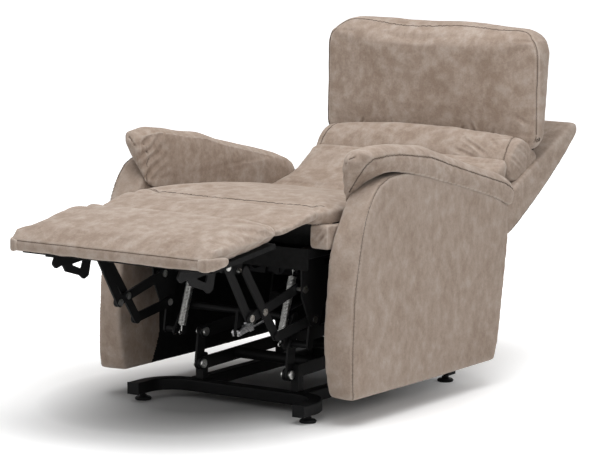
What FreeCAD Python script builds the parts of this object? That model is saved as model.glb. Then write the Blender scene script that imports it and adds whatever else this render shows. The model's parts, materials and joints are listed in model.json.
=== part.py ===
import FreeCAD, Part
import math
import os
import Sketcher
from FreeCAD import Placement, Rotation, Vector

# A powered lift-and-recline armchair, upright on its base frame, drawn with the footrest out, the
# back laid down and the headrest raised. Millimetres. +Z is up, +Y is towards the back of the
# chair, +X is the sitter's left. Side views are drawn in the YZ plane, where y = 0 is the front
# of the arms and z = 0 is the floor; the whole chair is then set back so that the origin is under
# its middle. The left half is drawn and the right half is its mirror image.

DRIVING_SIZES = [
    # alias, value, what it is
    ("origin_setback", 347.2, "from the front of the arms back to the origin"),
    ("arm_outside", 385.0, "from the middle of the chair to the outside of an arm"),
    ("arm_width", 79.0, "thickness of an arm panel"),
    ("arm_bottom", 62.0, "height of the arm's lower edge"),
    ("arm_top", 602.0, "height of the arm panel's crown"),
    ("arm_depth", 715.0, "front to back of the arm panel at its rear corner"),
    ("pad_crown", 664.0, "height of the arm pad's crest"),
    ("pad_overhang", 7.0, "how far the arm pad stands out past the panel"),
    ("pad_drape", 10.0, "thickness of the pad where it hangs down inside the arm"),
    ("seat_top", 525.0, "height of the seat at its front roll"),
    ("seat_side_gap", 6.0, "gap between the seat's upper pad and the drape of an arm pad"),
    ("seat_half_width", "=arm_outside - arm_width - pad_drape - seat_side_gap",
     "half the width of the seat's upper pad"),
    ("seat_core_half_width", 254.0, "half the width of the seat foam between the rails"),
    ("seat_back_edge", 550.0, "y of the seat cushion's rear face"),
    ("calf_thickness", 44.0, "thickness of the calf pad at its roll"),
    ("calf_half_width", "=seat_half_width - 8", "half the width of the calf pad"),
    ("footrest_half_width", "=seat_half_width + 4", "half the width of the footrest pad"),
    ("footrest_length", 300.0, "crease to foot end of the footrest pad"),
    ("footrest_thickness", 37.0, "thickness of the footrest pad"),
    ("board_thickness", 12.0, "plywood boards"),
    ("back_overlap", 14.0, "how far the back reaches over each arm panel above the pads"),
    ("back_half_width", "=arm_outside - arm_width + back_overlap",
     "half the width of the back above the arms"),
    ("back_side_gap", 4.0, "gap between the back and the drape of an arm pad"),
    ("back_low_half_width", "=arm_outside - arm_width - pad_drape - back_side_gap",
     "half the width of the back between the arms"),
    ("cushion_half_width", "=back_half_width - 10", "half the width of the shoulder roll"),
    ("headrest_half_width", "=back_half_width", "half the width of the headrest"),
    ("headrest_corner", 62.0, "radius of the headrest's upper corners"),
    ("frame_tube", 30.0, "height of the base frame's rectangular tube"),
    ("frame_tube_width", 35.0, "width of the base frame's rectangular tube"),
    ("tube_wall", 2.0, "wall of every rectangular tube"),
    ("base_half_width", 250.0, "from the middle of the base to a foot"),
    ("base_bar_front", 85.0, "y of the front cross bar's centre line"),
    ("base_bend", 85.0, "bend radius of the front bar's ends"),
    ("base_nose", 45.0, "how far the bar's ends reach in front of the arms"),
    ("base_rear", 620.0, "y of the rear cross bar's centre line"),
    ("base_rail_offset", 165.0, "from the middle of the base to a side rail's centre line"),
    ("base_underside", 19.0, "height of the base tube's underside"),
    ("foot_radius", 21.5, "radius of a levelling foot"),
    ("foot_thickness", 8.0, "thickness of a levelling foot's pad"),
    ("foot_stem", 5.0, "radius of a levelling foot's screw"),
    ("rail_tube", 25.0, "square tube of the seat frame"),
    ("seat_rail_height", 400.0, "height of the long seat rails' underside over the floor"),
    ("cross_rail_drop", 24.0, "how far the cross rails lie below the long seat rails"),
    ("side_plate_drop", 55.0, "how far the side plates reach below the long seat rails"),
    ("side_plate_offset", 222.0, "from the middle to the inner face of a side plate"),
    ("side_plate_thickness", 4.0, "mechanism side plates"),
    ("link_thickness", 5.0, "flat links of the footrest scissor"),
    ("link_half_width", 12.0, "half the width of a scissor link"),
    ("link_gap", 3.0, "washer gap between two layers of links"),
    ("pin_radius", 5.0, "scissor pivot pins"),
    ("pin_head", 9.0, "radius of a pivot pin's head"),
    ("pin_head_thickness", 2.0, "thickness of a pivot pin's head"),
    ("pin_clearance", 0.05, "radial running clearance of every pivot"),
    ("open_gap", 0.3, "gap between a washer and the face it turns against"),
    ("drive_tube_radius", 9.0, "cross shaft that turns the scissor"),
    ("crank_thickness", 6.0, "crank plates on the ends of the cross shaft"),
    ("crank_offset", 162.0, "from the middle to the inner face of a crank plate"),
    ("spring_offset", 150.0, "from the middle to a return spring"),
    ("spring_coil", 9.0, "mean radius of a return spring"),
    ("spring_wire", 1.6, "radius of the spring wire"),
    ("spring_pin", 3.0, "radius of the pins that the springs hook on"),
    ("spring_pitch", 7.6, "distance between two turns of a return spring"),
    ("tower_offset", 134.0, "from the middle to the inner face of a lift tower"),
    ("tower_thickness", 6.0, "lift tower plates"),
    ("lift_arm_thickness", 6.0, "lift arms"),
    ("lift_arm_half_width", 16.0, "half the width of a lift arm"),
    ("lift_gap", 2.0, "gap between a lift arm and the plates beside it"),
    ("hanger_thickness", 6.0, "plates that hang the seat frame on the lift arms"),
    ("bolt_radius", 6.0, "pivot bolts of the lift"),
    ("bolt_head", 11.0, "radius of the head of a lift bolt"),
    ("bolt_head_thickness", 6.0, "thickness of the head of a lift bolt"),
    ("torsion_tube_radius", 14.0, "cross tube between the lift arms"),
    ("motor_radius", 24.0, "radius of an actuator's motor"),
    ("motor_length", 105.0, "length of an actuator's motor"),
    ("actuator_tube", 15.0, "outer radius of an actuator's tube"),
    ("rod_radius", 9.0, "radius of an actuator's rod"),
    ("rod_clearance", 0.5, "gap between an actuator's rod and its tube"),
    ("ear_thickness", 4.0, "ears that hold an actuator's rear eye"),
    ("lug_thickness", 8.0, "lug between the prongs of an actuator's fork"),
]

# The base and the lift are drawn from the floor. The seat, the scissor, the arms and the back are
# drawn with the long rails' underside at RAIL_LEVEL, and then set at seat_rail_height.
RAIL_LEVEL = 400.0

# Pivots in the side view, as (y, z). The scissor has two crossing links on each side: the long
# and the rear link turn on the side plate, the front and the cross link carry the footrest.
LONG_PIVOT = (19.0, 321.0)
REAR_PIVOT = (61.4, 241.5)
LOW_FRONT_JOINT = (-173.2, 275.9)
CROSS_JOINT = (-130.2, 286.0)
LOW_REAR_JOINT = (-82.7, 220.5)
FOOT_FRONT_JOINT = (-258.2, 410.0)
FOOT_REAR_JOINT = (-208.4, 395.2)
DRIVE_STUB = (50.0, 178.0)
SPRING_LOW = (17.5, 178.0)
SPRING_HIGH = (80.0, 356.0)
CALF_HINGE = (-40.0, 503.0)
CREASE = (-175.0, 490.0)
BACK_HINGE = (600.0, 380.0)
BACK_CRANK = (612.0, 318.0)
BACK_LUG = (600.0, 285.0)
HEADREST_HINGE = (951.0, 545.0)
LIFT_LOW = (78.0, 92.0)
LIFT_HIGH = (89.0, 172.0)
LIFT_ARM_END = (430.0, 100.0)
LIFT_LINK_END = (380.0, 187.2)
TORSION_TUBE = (225.0, 98.0)
LIFT_LUG = (255.0, 135.0)
LIFT_MOTOR_PIVOT = (600.0, 75.0)
FOOT_LUG = (50.9, 187.5)
FOOT_MOTOR_PIVOT = (430.0, 250.0)
BACK_MOTOR_PIVOT = (120.0, 352.0)

doc = FreeCAD.newDocument("lift_recliner")
dims = doc.addObject("Spreadsheet::Sheet", "dims")
for row, (alias, value, meaning) in enumerate(DRIVING_SIZES, start=1):
    dims.set("A%d" % row, meaning)
    dims.set("B%d" % row, str(value))
    dims.setAlias("B%d" % row, alias)
doc.recompute()


class Sizes:
    """Reads a driving dimension from the sheet by its alias."""

    def __getattr__(self, alias):
        return float(dims.get(alias))


size = Sizes()
nodes = []


class Level:
    """How far the drawing in hand is raised to its place."""

    rise = 0.0


def draw_from_floor():
    """The base and the lift."""
    Level.rise = 0.0


def draw_from_rails():
    """The seat, and all that it carries."""
    Level.rise = size.seat_rail_height - RAIL_LEVEL


def set_in_place(x, y, z):
    """A point of the drawing, moved so that the origin is on the floor under the chair's middle."""
    return Vector(x, y - size.origin_setback, z + Level.rise)


def cross_rail_height():
    """Underside of the seat frame's cross rails in the seat's drawing."""
    return RAIL_LEVEL - size.cross_rail_drop


def seat_under():
    """Underside of the seat cushion, which lies on the long rails, in the seat's drawing."""
    return RAIL_LEVEL + size.rail_tube + size.open_gap


# ---------------------------------------------------------------- drawing helpers

def keep(feature, name):
    """Names a finished sub-part and puts it on the list that is written out."""
    feature.Label = name
    nodes.append(feature)
    return feature


def new_body(name):
    """An empty PartDesign body, set back so that the origin is under the chair's middle."""
    body = doc.addObject("PartDesign::Body", name)
    body.Placement = Placement(set_in_place(0, 0, 0), Rotation())
    return body


def sketch_on(body, plane_role, offset=0.0):
    """A sketch on one of the body's own origin planes, moved along the plane's normal."""
    sketch = body.newObject("Sketcher::SketchObject", body.Name + "_sketch")
    for feature in body.Origin.OriginFeatures:
        if feature.Role == plane_role:
            sketch.AttachmentSupport = [(feature, "")]
    sketch.MapMode = "FlatFace"
    sketch.AttachmentOffset = Placement(Vector(0, 0, offset), Rotation())
    return sketch


def draw_runs(sketch, runs):
    """A closed outline of runs: two points make a straight edge, more make a smooth curve."""
    for run in runs:
        points = [Vector(a, b, 0) for a, b in run]
        if len(points) == 2:
            sketch.addGeometry(Part.LineSegment(points[0], points[1]))
        else:
            curve = Part.BSplineCurve()
            curve.interpolate(points)
            sketch.addGeometry(curve)


def draw_corners(sketch, corners):
    """A closed outline of straight edges whose corners (a, b, radius) are rounded by arcs."""
    count = len(corners)
    starts, ends = [], []
    for index in range(count):
        corner = Vector(corners[index][0], corners[index][1], 0)
        radius = corners[index][2]
        before = Vector(corners[index - 1][0], corners[index - 1][1], 0) - corner
        after = Vector(corners[(index + 1) % count][0], corners[(index + 1) % count][1], 0) - corner
        before.normalize()
        after.normalize()
        if radius <= 0:
            starts.append(corner)
            ends.append(corner)
            continue
        half_angle = before.getAngle(after) / 2
        reach = radius / math.tan(half_angle)
        middle = (before + after).normalize()
        centre = corner + middle * (radius / math.sin(half_angle))
        starts.append(corner + before * reach)
        ends.append(corner + after * reach)
        sketch.addGeometry(Part.Arc(starts[-1], centre - middle * radius, ends[-1]))
    for index in range(count):
        here, there = ends[index], starts[(index + 1) % count]
        if (there - here).Length > 0.001:
            sketch.addGeometry(Part.LineSegment(here, there))


def draw_hole(sketch, centre, radius_alias, extra=0.0):
    """A round hole whose radius is a size from the sheet, with its clearance."""
    radius = getattr(size, radius_alias) + extra
    circle = sketch.addGeometry(Part.Circle(Vector(centre[0], centre[1], 0), Vector(0, 0, 1), radius))
    constraint = sketch.addConstraint(Sketcher.Constraint("Radius", circle, radius))
    name = "Constraints[%d]" % constraint
    if extra:
        sketch.setExpression(name, "<<dims>>.%s + <<dims>>.pin_clearance" % radius_alias)
    else:
        sketch.setExpression(name, "<<dims>>." + radius_alias)


def pad(body, sketch, length_expression):
    """Pads a sketch along its normal by a length from the sheet."""
    feature = body.newObject("PartDesign::Pad", body.Name + "_pad")
    feature.Profile = sketch
    feature.setExpression("Length", length_expression)
    sketch.Visibility = False
    return feature


def across(body, sketch, half_width_alias):
    """Pads a side view to both sides of the chair's middle."""
    feature = pad(body, sketch, "2 * <<dims>>." + half_width_alias)
    feature.Midplane = True
    return feature


def bar_corners(start, end, half_width):
    """The outline of a flat bar with round ends between two pivots."""
    along = (Vector(end[0], end[1], 0) - Vector(start[0], start[1], 0)).normalize()
    side = Vector(-along.y, along.x, 0) * half_width
    first = Vector(start[0], start[1], 0) - along * half_width
    last = Vector(end[0], end[1], 0) + along * half_width
    radius = half_width * 0.999
    corners = [first - side, last - side, last + side, first + side]
    return [(corner.x, corner.y, radius) for corner in corners]


def flat_bar(name, spans, holes, inner_x, half_width, thickness_alias):
    """A flat steel link: one or more straight spans in one plane, with pivot holes."""
    body = new_body(name)
    for start, end in spans:
        sketch = sketch_on(body, "YZ_Plane", inner_x)
        draw_corners(sketch, bar_corners(start, end, half_width))
        pad(body, sketch, "<<dims>>." + thickness_alias)
    drill(body, holes, inner_x)
    return body


def drill(body, holes, inner_x):
    """Cuts round pivot holes, given as (centre, radius alias, clearance), through a plate."""
    if not holes:
        return
    sketch = sketch_on(body, "YZ_Plane", inner_x)
    for centre, radius_alias, extra in holes:
        draw_hole(sketch, centre, radius_alias, extra)
    pocket = body.newObject("PartDesign::Pocket", body.Name + "_holes")
    pocket.Profile = sketch
    pocket.Type = 1
    pocket.Midplane = True
    sketch.Visibility = False


def mirrored(source, name):
    """The other hand of a sub-part."""
    mirror = doc.addObject("Part::Mirroring", name)
    mirror.Source = source
    mirror.Normal = (1, 0, 0)
    mirror.Base = (0, 0, 0)
    return mirror


def both_sides(source, name):
    """Keeps a sub-part and its mirror image as one node of separate solids."""
    group = doc.addObject("Part::Compound", name)
    group.Links = [source, mirrored(source, name + "_other_side")]
    return keep(group, name)


def left_and_right(source, name):
    """Keeps a sub-part and its mirror image as two nodes."""
    keep(source, name + "_left")
    keep(mirrored(source, name + "_right_half"), name + "_right")


def group_of(sources, name):
    """Keeps several solids as one node."""
    group = doc.addObject("Part::Compound", name)
    group.Links = sources
    return keep(group, name)


def round_bar(name, centre, start_x, end_x, radius_alias, extra=0.0):
    """A cylinder along X through a point of the side view."""
    cylinder = doc.addObject("Part::Cylinder", name)
    cylinder.setExpression("Radius", "<<dims>>.%s" % radius_alias)
    if extra:
        cylinder.setExpression("Radius", "<<dims>>.%s + %s" % (radius_alias, extra))
    cylinder.Height = abs(end_x - start_x)
    cylinder.Placement = Placement(
        set_in_place(min(start_x, end_x), centre[0], centre[1]), Rotation(Vector(0, 1, 0), 90))
    return cylinder


def block(name, low, high):
    """A rectangular solid between two corners given as (x, y, z)."""
    box = doc.addObject("Part::Box", name)
    box.Length = high[0] - low[0]
    box.Width = high[1] - low[1]
    box.Height = high[2] - low[2]
    box.Placement = Placement(set_in_place(low[0], low[1], low[2]), Rotation())
    return box


def fused(name, shapes):
    """One solid welded from several."""
    weld = doc.addObject("Part::MultiFuse", name)
    weld.Shapes = shapes
    return weld


def cut(name, base, tool):
    """One solid with another taken out of it."""
    result = doc.addObject("Part::Cut", name)
    result.Base = base
    result.Tool = tool
    return result


def turned(point, pivot, degrees):
    """A point of the side view turned about a pivot."""
    angle = math.radians(degrees)
    across_y, across_z = point[0] - pivot[0], point[1] - pivot[1]
    return (pivot[0] + across_y * math.cos(angle) - across_z * math.sin(angle),
            pivot[1] + across_y * math.sin(angle) + across_z * math.cos(angle))


# ---------------------------------------------------------------- base frame

def base_front_bar():
    """A rectangular tube across the front whose ends bend forward over the front feet."""
    body = new_body("base_front_bar_body")
    middle_z = size.base_underside + size.frame_tube / 2
    bend = size.base_bend
    straight = size.base_half_width - bend
    nose = -size.base_nose
    bar = size.base_bar_front
    path = sketch_on(body, "XY_Plane", middle_z)
    slant = bend * math.sqrt(0.5)
    for side in (1, -1):
        stub_start = Vector(side * size.base_half_width, nose, 0)
        stub_end = Vector(side * size.base_half_width, bar - bend, 0)
        bend_middle = Vector(side * (straight + slant), bar - bend + slant, 0)
        bend_end = Vector(side * straight, bar, 0)
        path.addGeometry(Part.LineSegment(stub_start, stub_end))
        path.addGeometry(Part.Arc(stub_end, bend_middle, bend_end))
    path.addGeometry(Part.LineSegment(Vector(straight, bar, 0), Vector(-straight, bar, 0)))
    section = sketch_on(body, "XZ_Plane", size.base_nose)
    half_width = size.frame_tube_width / 2
    half_height = size.frame_tube / 2
    for inset, corner in ((0.0, 4.0), (size.tube_wall, 2.5)):
        reach_x, reach_z = half_width - inset, half_height - inset
        draw_corners(section, [
            (size.base_half_width - reach_x, middle_z - reach_z, corner),
            (size.base_half_width + reach_x, middle_z - reach_z, corner),
            (size.base_half_width + reach_x, middle_z + reach_z, corner),
            (size.base_half_width - reach_x, middle_z + reach_z, corner)])
    pipe = body.newObject("PartDesign::AdditivePipe", "base_front_bar_pipe")
    pipe.Profile = section
    pipe.Spine = path
    keep(body, "base_front_bar")


def square_tube(name, plane_role, start, centre, width, height, length):
    """A rectangular tube along the normal of an origin plane."""
    body = new_body(name)
    sketch = sketch_on(body, plane_role, start)
    for inset, corner in ((0.0, 3.0), (size.tube_wall, 1.5)):
        reach_a, reach_b = width / 2 - inset, height / 2 - inset
        draw_corners(sketch, [
            (centre[0] - reach_a, centre[1] - reach_b, corner),
            (centre[0] + reach_a, centre[1] - reach_b, corner),
            (centre[0] + reach_a, centre[1] + reach_b, corner),
            (centre[0] - reach_a, centre[1] + reach_b, corner)])
    feature = body.newObject("PartDesign::Pad", name + "_pad")
    feature.Profile = sketch
    feature.Length = length
    return body


def base_frame():
    """Side rails and the rear bar of the base, with plastic caps in the open tube ends."""
    middle_z = size.base_underside + size.frame_tube / 2
    half_tube = size.frame_tube_width / 2
    rail_start = size.base_bar_front + half_tube
    rail_end = size.base_rear - half_tube
    rail = square_tube("base_rail_body", "XZ_Plane", -rail_end, (size.base_rail_offset, middle_z),
                       size.frame_tube, size.frame_tube, rail_end - rail_start)
    both_sides(rail, "base_side_rails")
    half_rear = size.base_half_width + half_tube
    rear = square_tube("base_rear_bar_body", "YZ_Plane", -half_rear, (size.base_rear, middle_z),
                       size.frame_tube_width, size.frame_tube, 2 * half_rear)
    keep(rear, "base_rear_bar")
    cap_lip = 2.5
    inner_x = half_tube - size.tube_wall - 1.0
    inner_z = size.frame_tube / 2 - size.tube_wall - 1.0
    front_lip = block("front_cap_lip",
                      (size.base_half_width - half_tube, -size.base_nose - cap_lip, size.base_underside),
                      (size.base_half_width + half_tube, -size.base_nose,
                       size.base_underside + size.frame_tube))
    front_plug = block("front_cap_plug",
                       (size.base_half_width - inner_x, -size.base_nose - cap_lip / 2, middle_z - inner_z),
                       (size.base_half_width + inner_x, -size.base_nose + 12, middle_z + inner_z))
    rear_lip = block("rear_cap_lip",
                     (half_rear, size.base_rear - half_tube, size.base_underside),
                     (half_rear + cap_lip, size.base_rear + half_tube,
                      size.base_underside + size.frame_tube))
    rear_plug = block("rear_cap_plug",
                      (half_rear - 12, size.base_rear - inner_x, middle_z - inner_z),
                      (half_rear + cap_lip / 2, size.base_rear + inner_x, middle_z + inner_z))
    front_cap = fused("front_cap", [front_lip, front_plug])
    rear_cap = fused("rear_cap", [rear_lip, rear_plug])
    group_of([front_cap, mirrored(front_cap, "front_cap_other"),
              rear_cap, mirrored(rear_cap, "rear_cap_other")], "tube_end_caps")


def levelling_feet():
    """Four screw glides: a round pad, a nut and a screw up to the tube."""
    feet = []
    for place, centre_y in (("front", -5.0), ("rear", size.base_rear)):
        body = new_body(place + "_foot_body")
        body.Placement = Placement(
            set_in_place(size.base_half_width, centre_y, 0), Rotation())
        sketch = sketch_on(body, "XZ_Plane")
        nut = 9.0
        draw_corners(sketch, [
            (0, 0, 0), (size.foot_radius - 2, 0, 1.5), (size.foot_radius, size.foot_thickness / 2, 1.5),
            (size.foot_radius - 3, size.foot_thickness, 1.5), (nut, size.foot_thickness + 2, 0),
            (nut, size.foot_thickness + 6, 0), (size.foot_stem, size.foot_thickness + 6, 0),
            (size.foot_stem, size.base_underside, 0), (0, size.base_underside, 0)])
        revolve = body.newObject("PartDesign::Revolution", place + "_foot_turn")
        revolve.Profile = sketch
        revolve.ReferenceAxis = (sketch, ["V_Axis"])
        revolve.Angle = 360.0
        feet += [body, mirrored(body, place + "_foot_other")]
    group_of(feet, "levelling_feet")


# ---------------------------------------------------------------- lift

def lift_towers():
    """Upright plates on the front bar that carry both pivots of each pair of lift arms."""
    top_of_tube = size.base_underside + size.frame_tube
    bar = flat_bar("lift_tower_bar", [(LIFT_LOW, LIFT_HIGH)], [], size.tower_offset, 16.0,
                   "tower_thickness")
    post = sketch_on(bar, "YZ_Plane", size.tower_offset)
    post_front, post_rear = LIFT_LOW[0] + 12, LIFT_LOW[0] + 34
    draw_corners(post, [(post_front, top_of_tube, 0), (post_rear, top_of_tube, 0),
                        (post_rear, LIFT_LOW[1] + 24, 8), (post_front, LIFT_LOW[1] + 24, 0)])
    post_pad = bar.newObject("PartDesign::Pad", "lift_tower_post")
    post_pad.Profile = post
    post_pad.Length = 22
    drill(bar, [(LIFT_LOW, "bolt_radius", 0), (LIFT_HIGH, "bolt_radius", 0)], size.tower_offset)
    both_sides(bar, "lift_towers")


def lug_plate(name, root, tip):
    """A thick lug in the middle of the chair, for the forked end of an actuator's rod."""
    return flat_bar(name, [(root, tip)], [], -size.lug_thickness / 2, 10.0, "lug_thickness")


def lift_arm_inner_x():
    return size.tower_offset - size.lift_gap - size.lift_arm_thickness


def lift_arms():
    """Two arms a side, from the tower back to the seat frame, and the tube that ties them."""
    inner_x = lift_arm_inner_x()
    clearance = size.pin_clearance
    lower = flat_bar("lower_lift_arm_body", [(LIFT_LOW, LIFT_ARM_END)],
                     [(LIFT_LOW, "bolt_radius", clearance), (LIFT_ARM_END, "bolt_radius", clearance)],
                     inner_x, size.lift_arm_half_width, "lift_arm_thickness")
    both_sides(lower, "lower_lift_arms")
    upper = flat_bar("upper_lift_link_body", [(LIFT_HIGH, LIFT_LINK_END)],
                     [(LIFT_HIGH, "bolt_radius", clearance)],
                     inner_x, size.lift_arm_half_width, "lift_arm_thickness")
    both_sides(upper, "upper_lift_links")
    tube = round_bar("torsion_tube_bar", TORSION_TUBE, -inner_x, inner_x, "torsion_tube_radius")
    lug = lug_plate("torsion_tube_lug", TORSION_TUBE, LIFT_LUG)
    keep(fused("torsion_tube", [tube, lug]), "lift_torsion_tube")


def bolt(name, centre, inner_x, outer_x, radius_alias, head_alias, head_thickness):
    """A pivot bolt along X with a head at each end."""
    shank = round_bar(name + "_shank", centre, inner_x, outer_x, radius_alias)
    inner_head = round_bar(name + "_inner_head", centre, inner_x - head_thickness, inner_x, head_alias)
    outer_head = round_bar(name + "_outer_head", centre, outer_x, outer_x + head_thickness, head_alias)
    return fused(name, [shank, inner_head, outer_head])


def lift_bolts():
    """The bolts in the towers, and those that hang the seat frame on the lift arms."""
    inner_x = lift_arm_inner_x()
    outer_x = size.tower_offset + size.tower_thickness
    head = size.bolt_head_thickness
    tower_bolts = []
    for place, centre in (("low", LIFT_LOW), ("high", LIFT_HIGH)):
        one = bolt("tower_bolt_" + place, centre, inner_x - size.open_gap, outer_x,
                   "bolt_radius", "bolt_head", head)
        tower_bolts += [one, mirrored(one, "tower_bolt_other_" + place)]
    group_of(tower_bolts, "tower_bolts")
    hanger_inner = inner_x - size.lift_gap - size.hanger_thickness
    arm_outer = inner_x + size.lift_arm_thickness + size.open_gap
    carrier = bolt("hanger_bolt", LIFT_ARM_END, hanger_inner, arm_outer, "bolt_radius", "bolt_head",
                   head - size.lift_gap)
    stub = round_bar("link_stub", LIFT_LINK_END, hanger_inner, inner_x - size.open_gap, "bolt_radius")
    stub_head = round_bar("link_stub_head", LIFT_LINK_END, hanger_inner - head, hanger_inner, "bolt_head")
    link_stub = fused("link_stub_bolt", [stub, stub_head])
    group_of([carrier, mirrored(carrier, "hanger_bolt_other"),
              link_stub, mirrored(link_stub, "link_stub_other")], "hanger_bolts")


def lift_hangers():
    """Plates under the seat frame that the lift arms carry, and the tube across them."""
    inner_x = lift_arm_inner_x() - size.lift_gap - size.hanger_thickness
    body = new_body("lift_hanger_body")
    sketch = sketch_on(body, "YZ_Plane", inner_x)
    rise = size.seat_rail_height - RAIL_LEVEL
    top = cross_rail_height() + rise
    draw_corners(sketch, [
        (LIFT_ARM_END[0] - 17, LIFT_ARM_END[1] - 18, 16), (LIFT_ARM_END[0] + 18, LIFT_ARM_END[1] - 18, 17),
        (LIFT_ARM_END[0] + 32, FOOT_MOTOR_PIVOT[1] + rise, 60),
        (CROSS_RAILS["rear"] + size.rail_tube / 2, top - 30, 12),
        (CROSS_RAILS["rear"] + size.rail_tube / 2, top, 0),
        (CROSS_RAILS["middle"] - size.rail_tube / 2, top, 0),
        (LIFT_LINK_END[0] - 14, LIFT_LINK_END[1] + 24, 22),
        (LIFT_LINK_END[0] - 20, LIFT_LINK_END[1] - 18, 17), (LIFT_ARM_END[0] - 28, LIFT_ARM_END[1] + 50, 30)])
    pad(body, sketch, "<<dims>>.hanger_thickness")
    drill(body, [(LIFT_ARM_END, "bolt_radius", 0), (LIFT_LINK_END, "bolt_radius", 0)], inner_x)
    both_sides(body, "lift_hangers")
    draw_from_rails()
    keep(round_bar("hanger_tube_bar", FOOT_MOTOR_PIVOT, -inner_x, inner_x, "drive_tube_radius"),
         "hanger_cross_tube")
    draw_from_floor()


# ---------------------------------------------------------------- seat frame

CROSS_RAILS = {"front": 84.5, "middle": 407.5, "rear": 532.5}


def seat_frame():
    """Long rails under the seat, cross rails between the side plates and straps for the foam."""
    rail_x = size.side_plate_offset + size.side_plate_thickness + size.rail_tube / 2
    rail_z = RAIL_LEVEL + size.rail_tube / 2
    front_y, rear_y = -4.0, BACK_HINGE[0] - 40
    rail = square_tube("seat_rail_body", "XZ_Plane", -rear_y, (rail_x, rail_z),
                       size.rail_tube, size.rail_tube, rear_y - front_y)
    both_sides(rail, "seat_side_rails")
    for place, centre_y in CROSS_RAILS.items():
        cross = square_tube(place + "_cross_rail_body", "YZ_Plane", -size.side_plate_offset,
                            (centre_y, cross_rail_height() + size.rail_tube / 2),
                            size.rail_tube, size.rail_tube, 2 * size.side_plate_offset)
        keep(cross, place + "_cross_rail")
    straps = []
    strap_half, strap_count = 25.0, 5
    strap_z = cross_rail_height() + size.rail_tube
    for index in range(strap_count):
        centre_x = (index - (strap_count - 1) / 2) * 88.0
        straps.append(block("seat_strap_%d" % index,
                            (centre_x - strap_half, CROSS_RAILS["front"] - 12, strap_z),
                            (centre_x + strap_half, CROSS_RAILS["rear"] + 12, strap_z + 2.5)))
    group_of(straps, "seat_webbing")


def side_plates():
    """Steel side plates with the pivots of the footrest scissor and of the back."""
    body = new_body("side_plate_body")
    inner_x = size.side_plate_offset
    top = RAIL_LEVEL + size.rail_tube
    sketch = sketch_on(body, "YZ_Plane", inner_x)
    hub = 20.0
    low = RAIL_LEVEL - size.side_plate_drop
    draw_corners(sketch, [
        (4, top, 8), (4, LONG_PIVOT[1] - 16, 15),
        (REAR_PIVOT[0] - 20, REAR_PIVOT[1] - 14, 14), (REAR_PIVOT[0] + 16, REAR_PIVOT[1] - 20, 16),
        (REAR_PIVOT[0] + 42, REAR_PIVOT[1] + 46, 30), (200, low, 60), (BACK_HINGE[0] - 90, low, 60),
        (BACK_HINGE[0] - hub, BACK_HINGE[1] - hub, hub * 0.99),
        (BACK_HINGE[0] + hub, BACK_HINGE[1] - hub, hub * 0.99),
        (BACK_HINGE[0] + hub, BACK_HINGE[1] + hub, hub * 0.99),
        (BACK_HINGE[0] - 38, BACK_HINGE[1] + hub, 0), (BACK_HINGE[0] - 40, top, 4)])
    pad(body, sketch, "<<dims>>.side_plate_thickness")
    drill(body, [(LONG_PIVOT, "pin_radius", 0), (REAR_PIVOT, "pin_radius", 0),
                 (BACK_HINGE, "bolt_radius", 0)], inner_x)
    windows = sketch_on(body, "YZ_Plane", inner_x)
    window_low, window_high, half_window = low + 23, top - 35, 38
    for centre_y in (140.0, 245.0, 350.0, 455.0):
        front, rear = centre_y - half_window, centre_y + half_window
        draw_corners(windows, [(front, window_low, 9), (rear, window_low, 9),
                               (rear, window_high, 9), (front, window_high, 9)])
    pocket = body.newObject("PartDesign::Pocket", "side_plate_windows")
    pocket.Profile = windows
    pocket.Type = 1
    pocket.Midplane = True
    left_and_right(body, "side_plate")


def arm_brackets():
    """Steel angles that bolt each arm to the long seat rail."""
    rail_outer = size.side_plate_offset + size.side_plate_thickness + size.rail_tube
    arm_inner = size.arm_outside - size.arm_width
    bottom = RAIL_LEVEL
    brackets = []
    for place, centre_y in (("front", 120.0), ("rear", 480.0)):
        shelf = block("arm_bracket_shelf_" + place, (rail_outer, centre_y - 25, bottom),
                      (arm_inner, centre_y + 25, bottom + 4))
        flange = block("arm_bracket_flange_" + place, (arm_inner - 4, centre_y - 25, bottom - 46),
                       (arm_inner, centre_y + 25, bottom + 4))
        one = fused("arm_bracket_" + place, [shelf, flange])
        brackets += [one, mirrored(one, "arm_bracket_other_" + place)]
    group_of(brackets, "arm_brackets")


# ---------------------------------------------------------------- footrest scissor

def layer(index):
    """Inner face of a layer of links; layer 0 lies beside the side plate."""
    pitch = size.link_thickness + size.link_gap
    return size.side_plate_offset - size.link_gap - size.link_thickness - index * pitch


def scissor_links():
    """The four links of each scissor, each in its own layer so that they fold past each other."""
    half = size.link_half_width
    clearance = size.pin_clearance
    rear_link = flat_bar("rear_link_body", [(REAR_PIVOT, LOW_REAR_JOINT), (REAR_PIVOT, DRIVE_STUB)],
                         [(REAR_PIVOT, "pin_radius", clearance)], layer(0), half, "link_thickness")
    stub = round_bar("rear_link_stub", LOW_REAR_JOINT, layer(1) + size.link_thickness + size.open_gap,
                     layer(0) + 1, "pin_radius")
    both_sides(fused("rear_link_form", [rear_link, stub]), "footrest_rear_links")
    cross_link = flat_bar("cross_link_body", [(LOW_REAR_JOINT, FOOT_REAR_JOINT)],
                          [(CROSS_JOINT, "pin_radius", clearance)], layer(1), half, "link_thickness")
    both_sides(cross_link, "footrest_cross_links")
    long_link = flat_bar("long_link_body", [(LONG_PIVOT, LOW_FRONT_JOINT)],
                         [(LONG_PIVOT, "pin_radius", clearance), (CROSS_JOINT, "pin_radius", 0),
                          (LOW_FRONT_JOINT, "pin_radius", 0)], layer(2), half, "link_thickness")
    both_sides(long_link, "footrest_long_links")
    front_link = flat_bar("front_link_body", [(LOW_FRONT_JOINT, FOOT_FRONT_JOINT)],
                          [(LOW_FRONT_JOINT, "pin_radius", clearance),
                           (FOOT_FRONT_JOINT, "pin_radius", clearance)], layer(3), half, "link_thickness")
    both_sides(front_link, "footrest_front_links")


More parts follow.
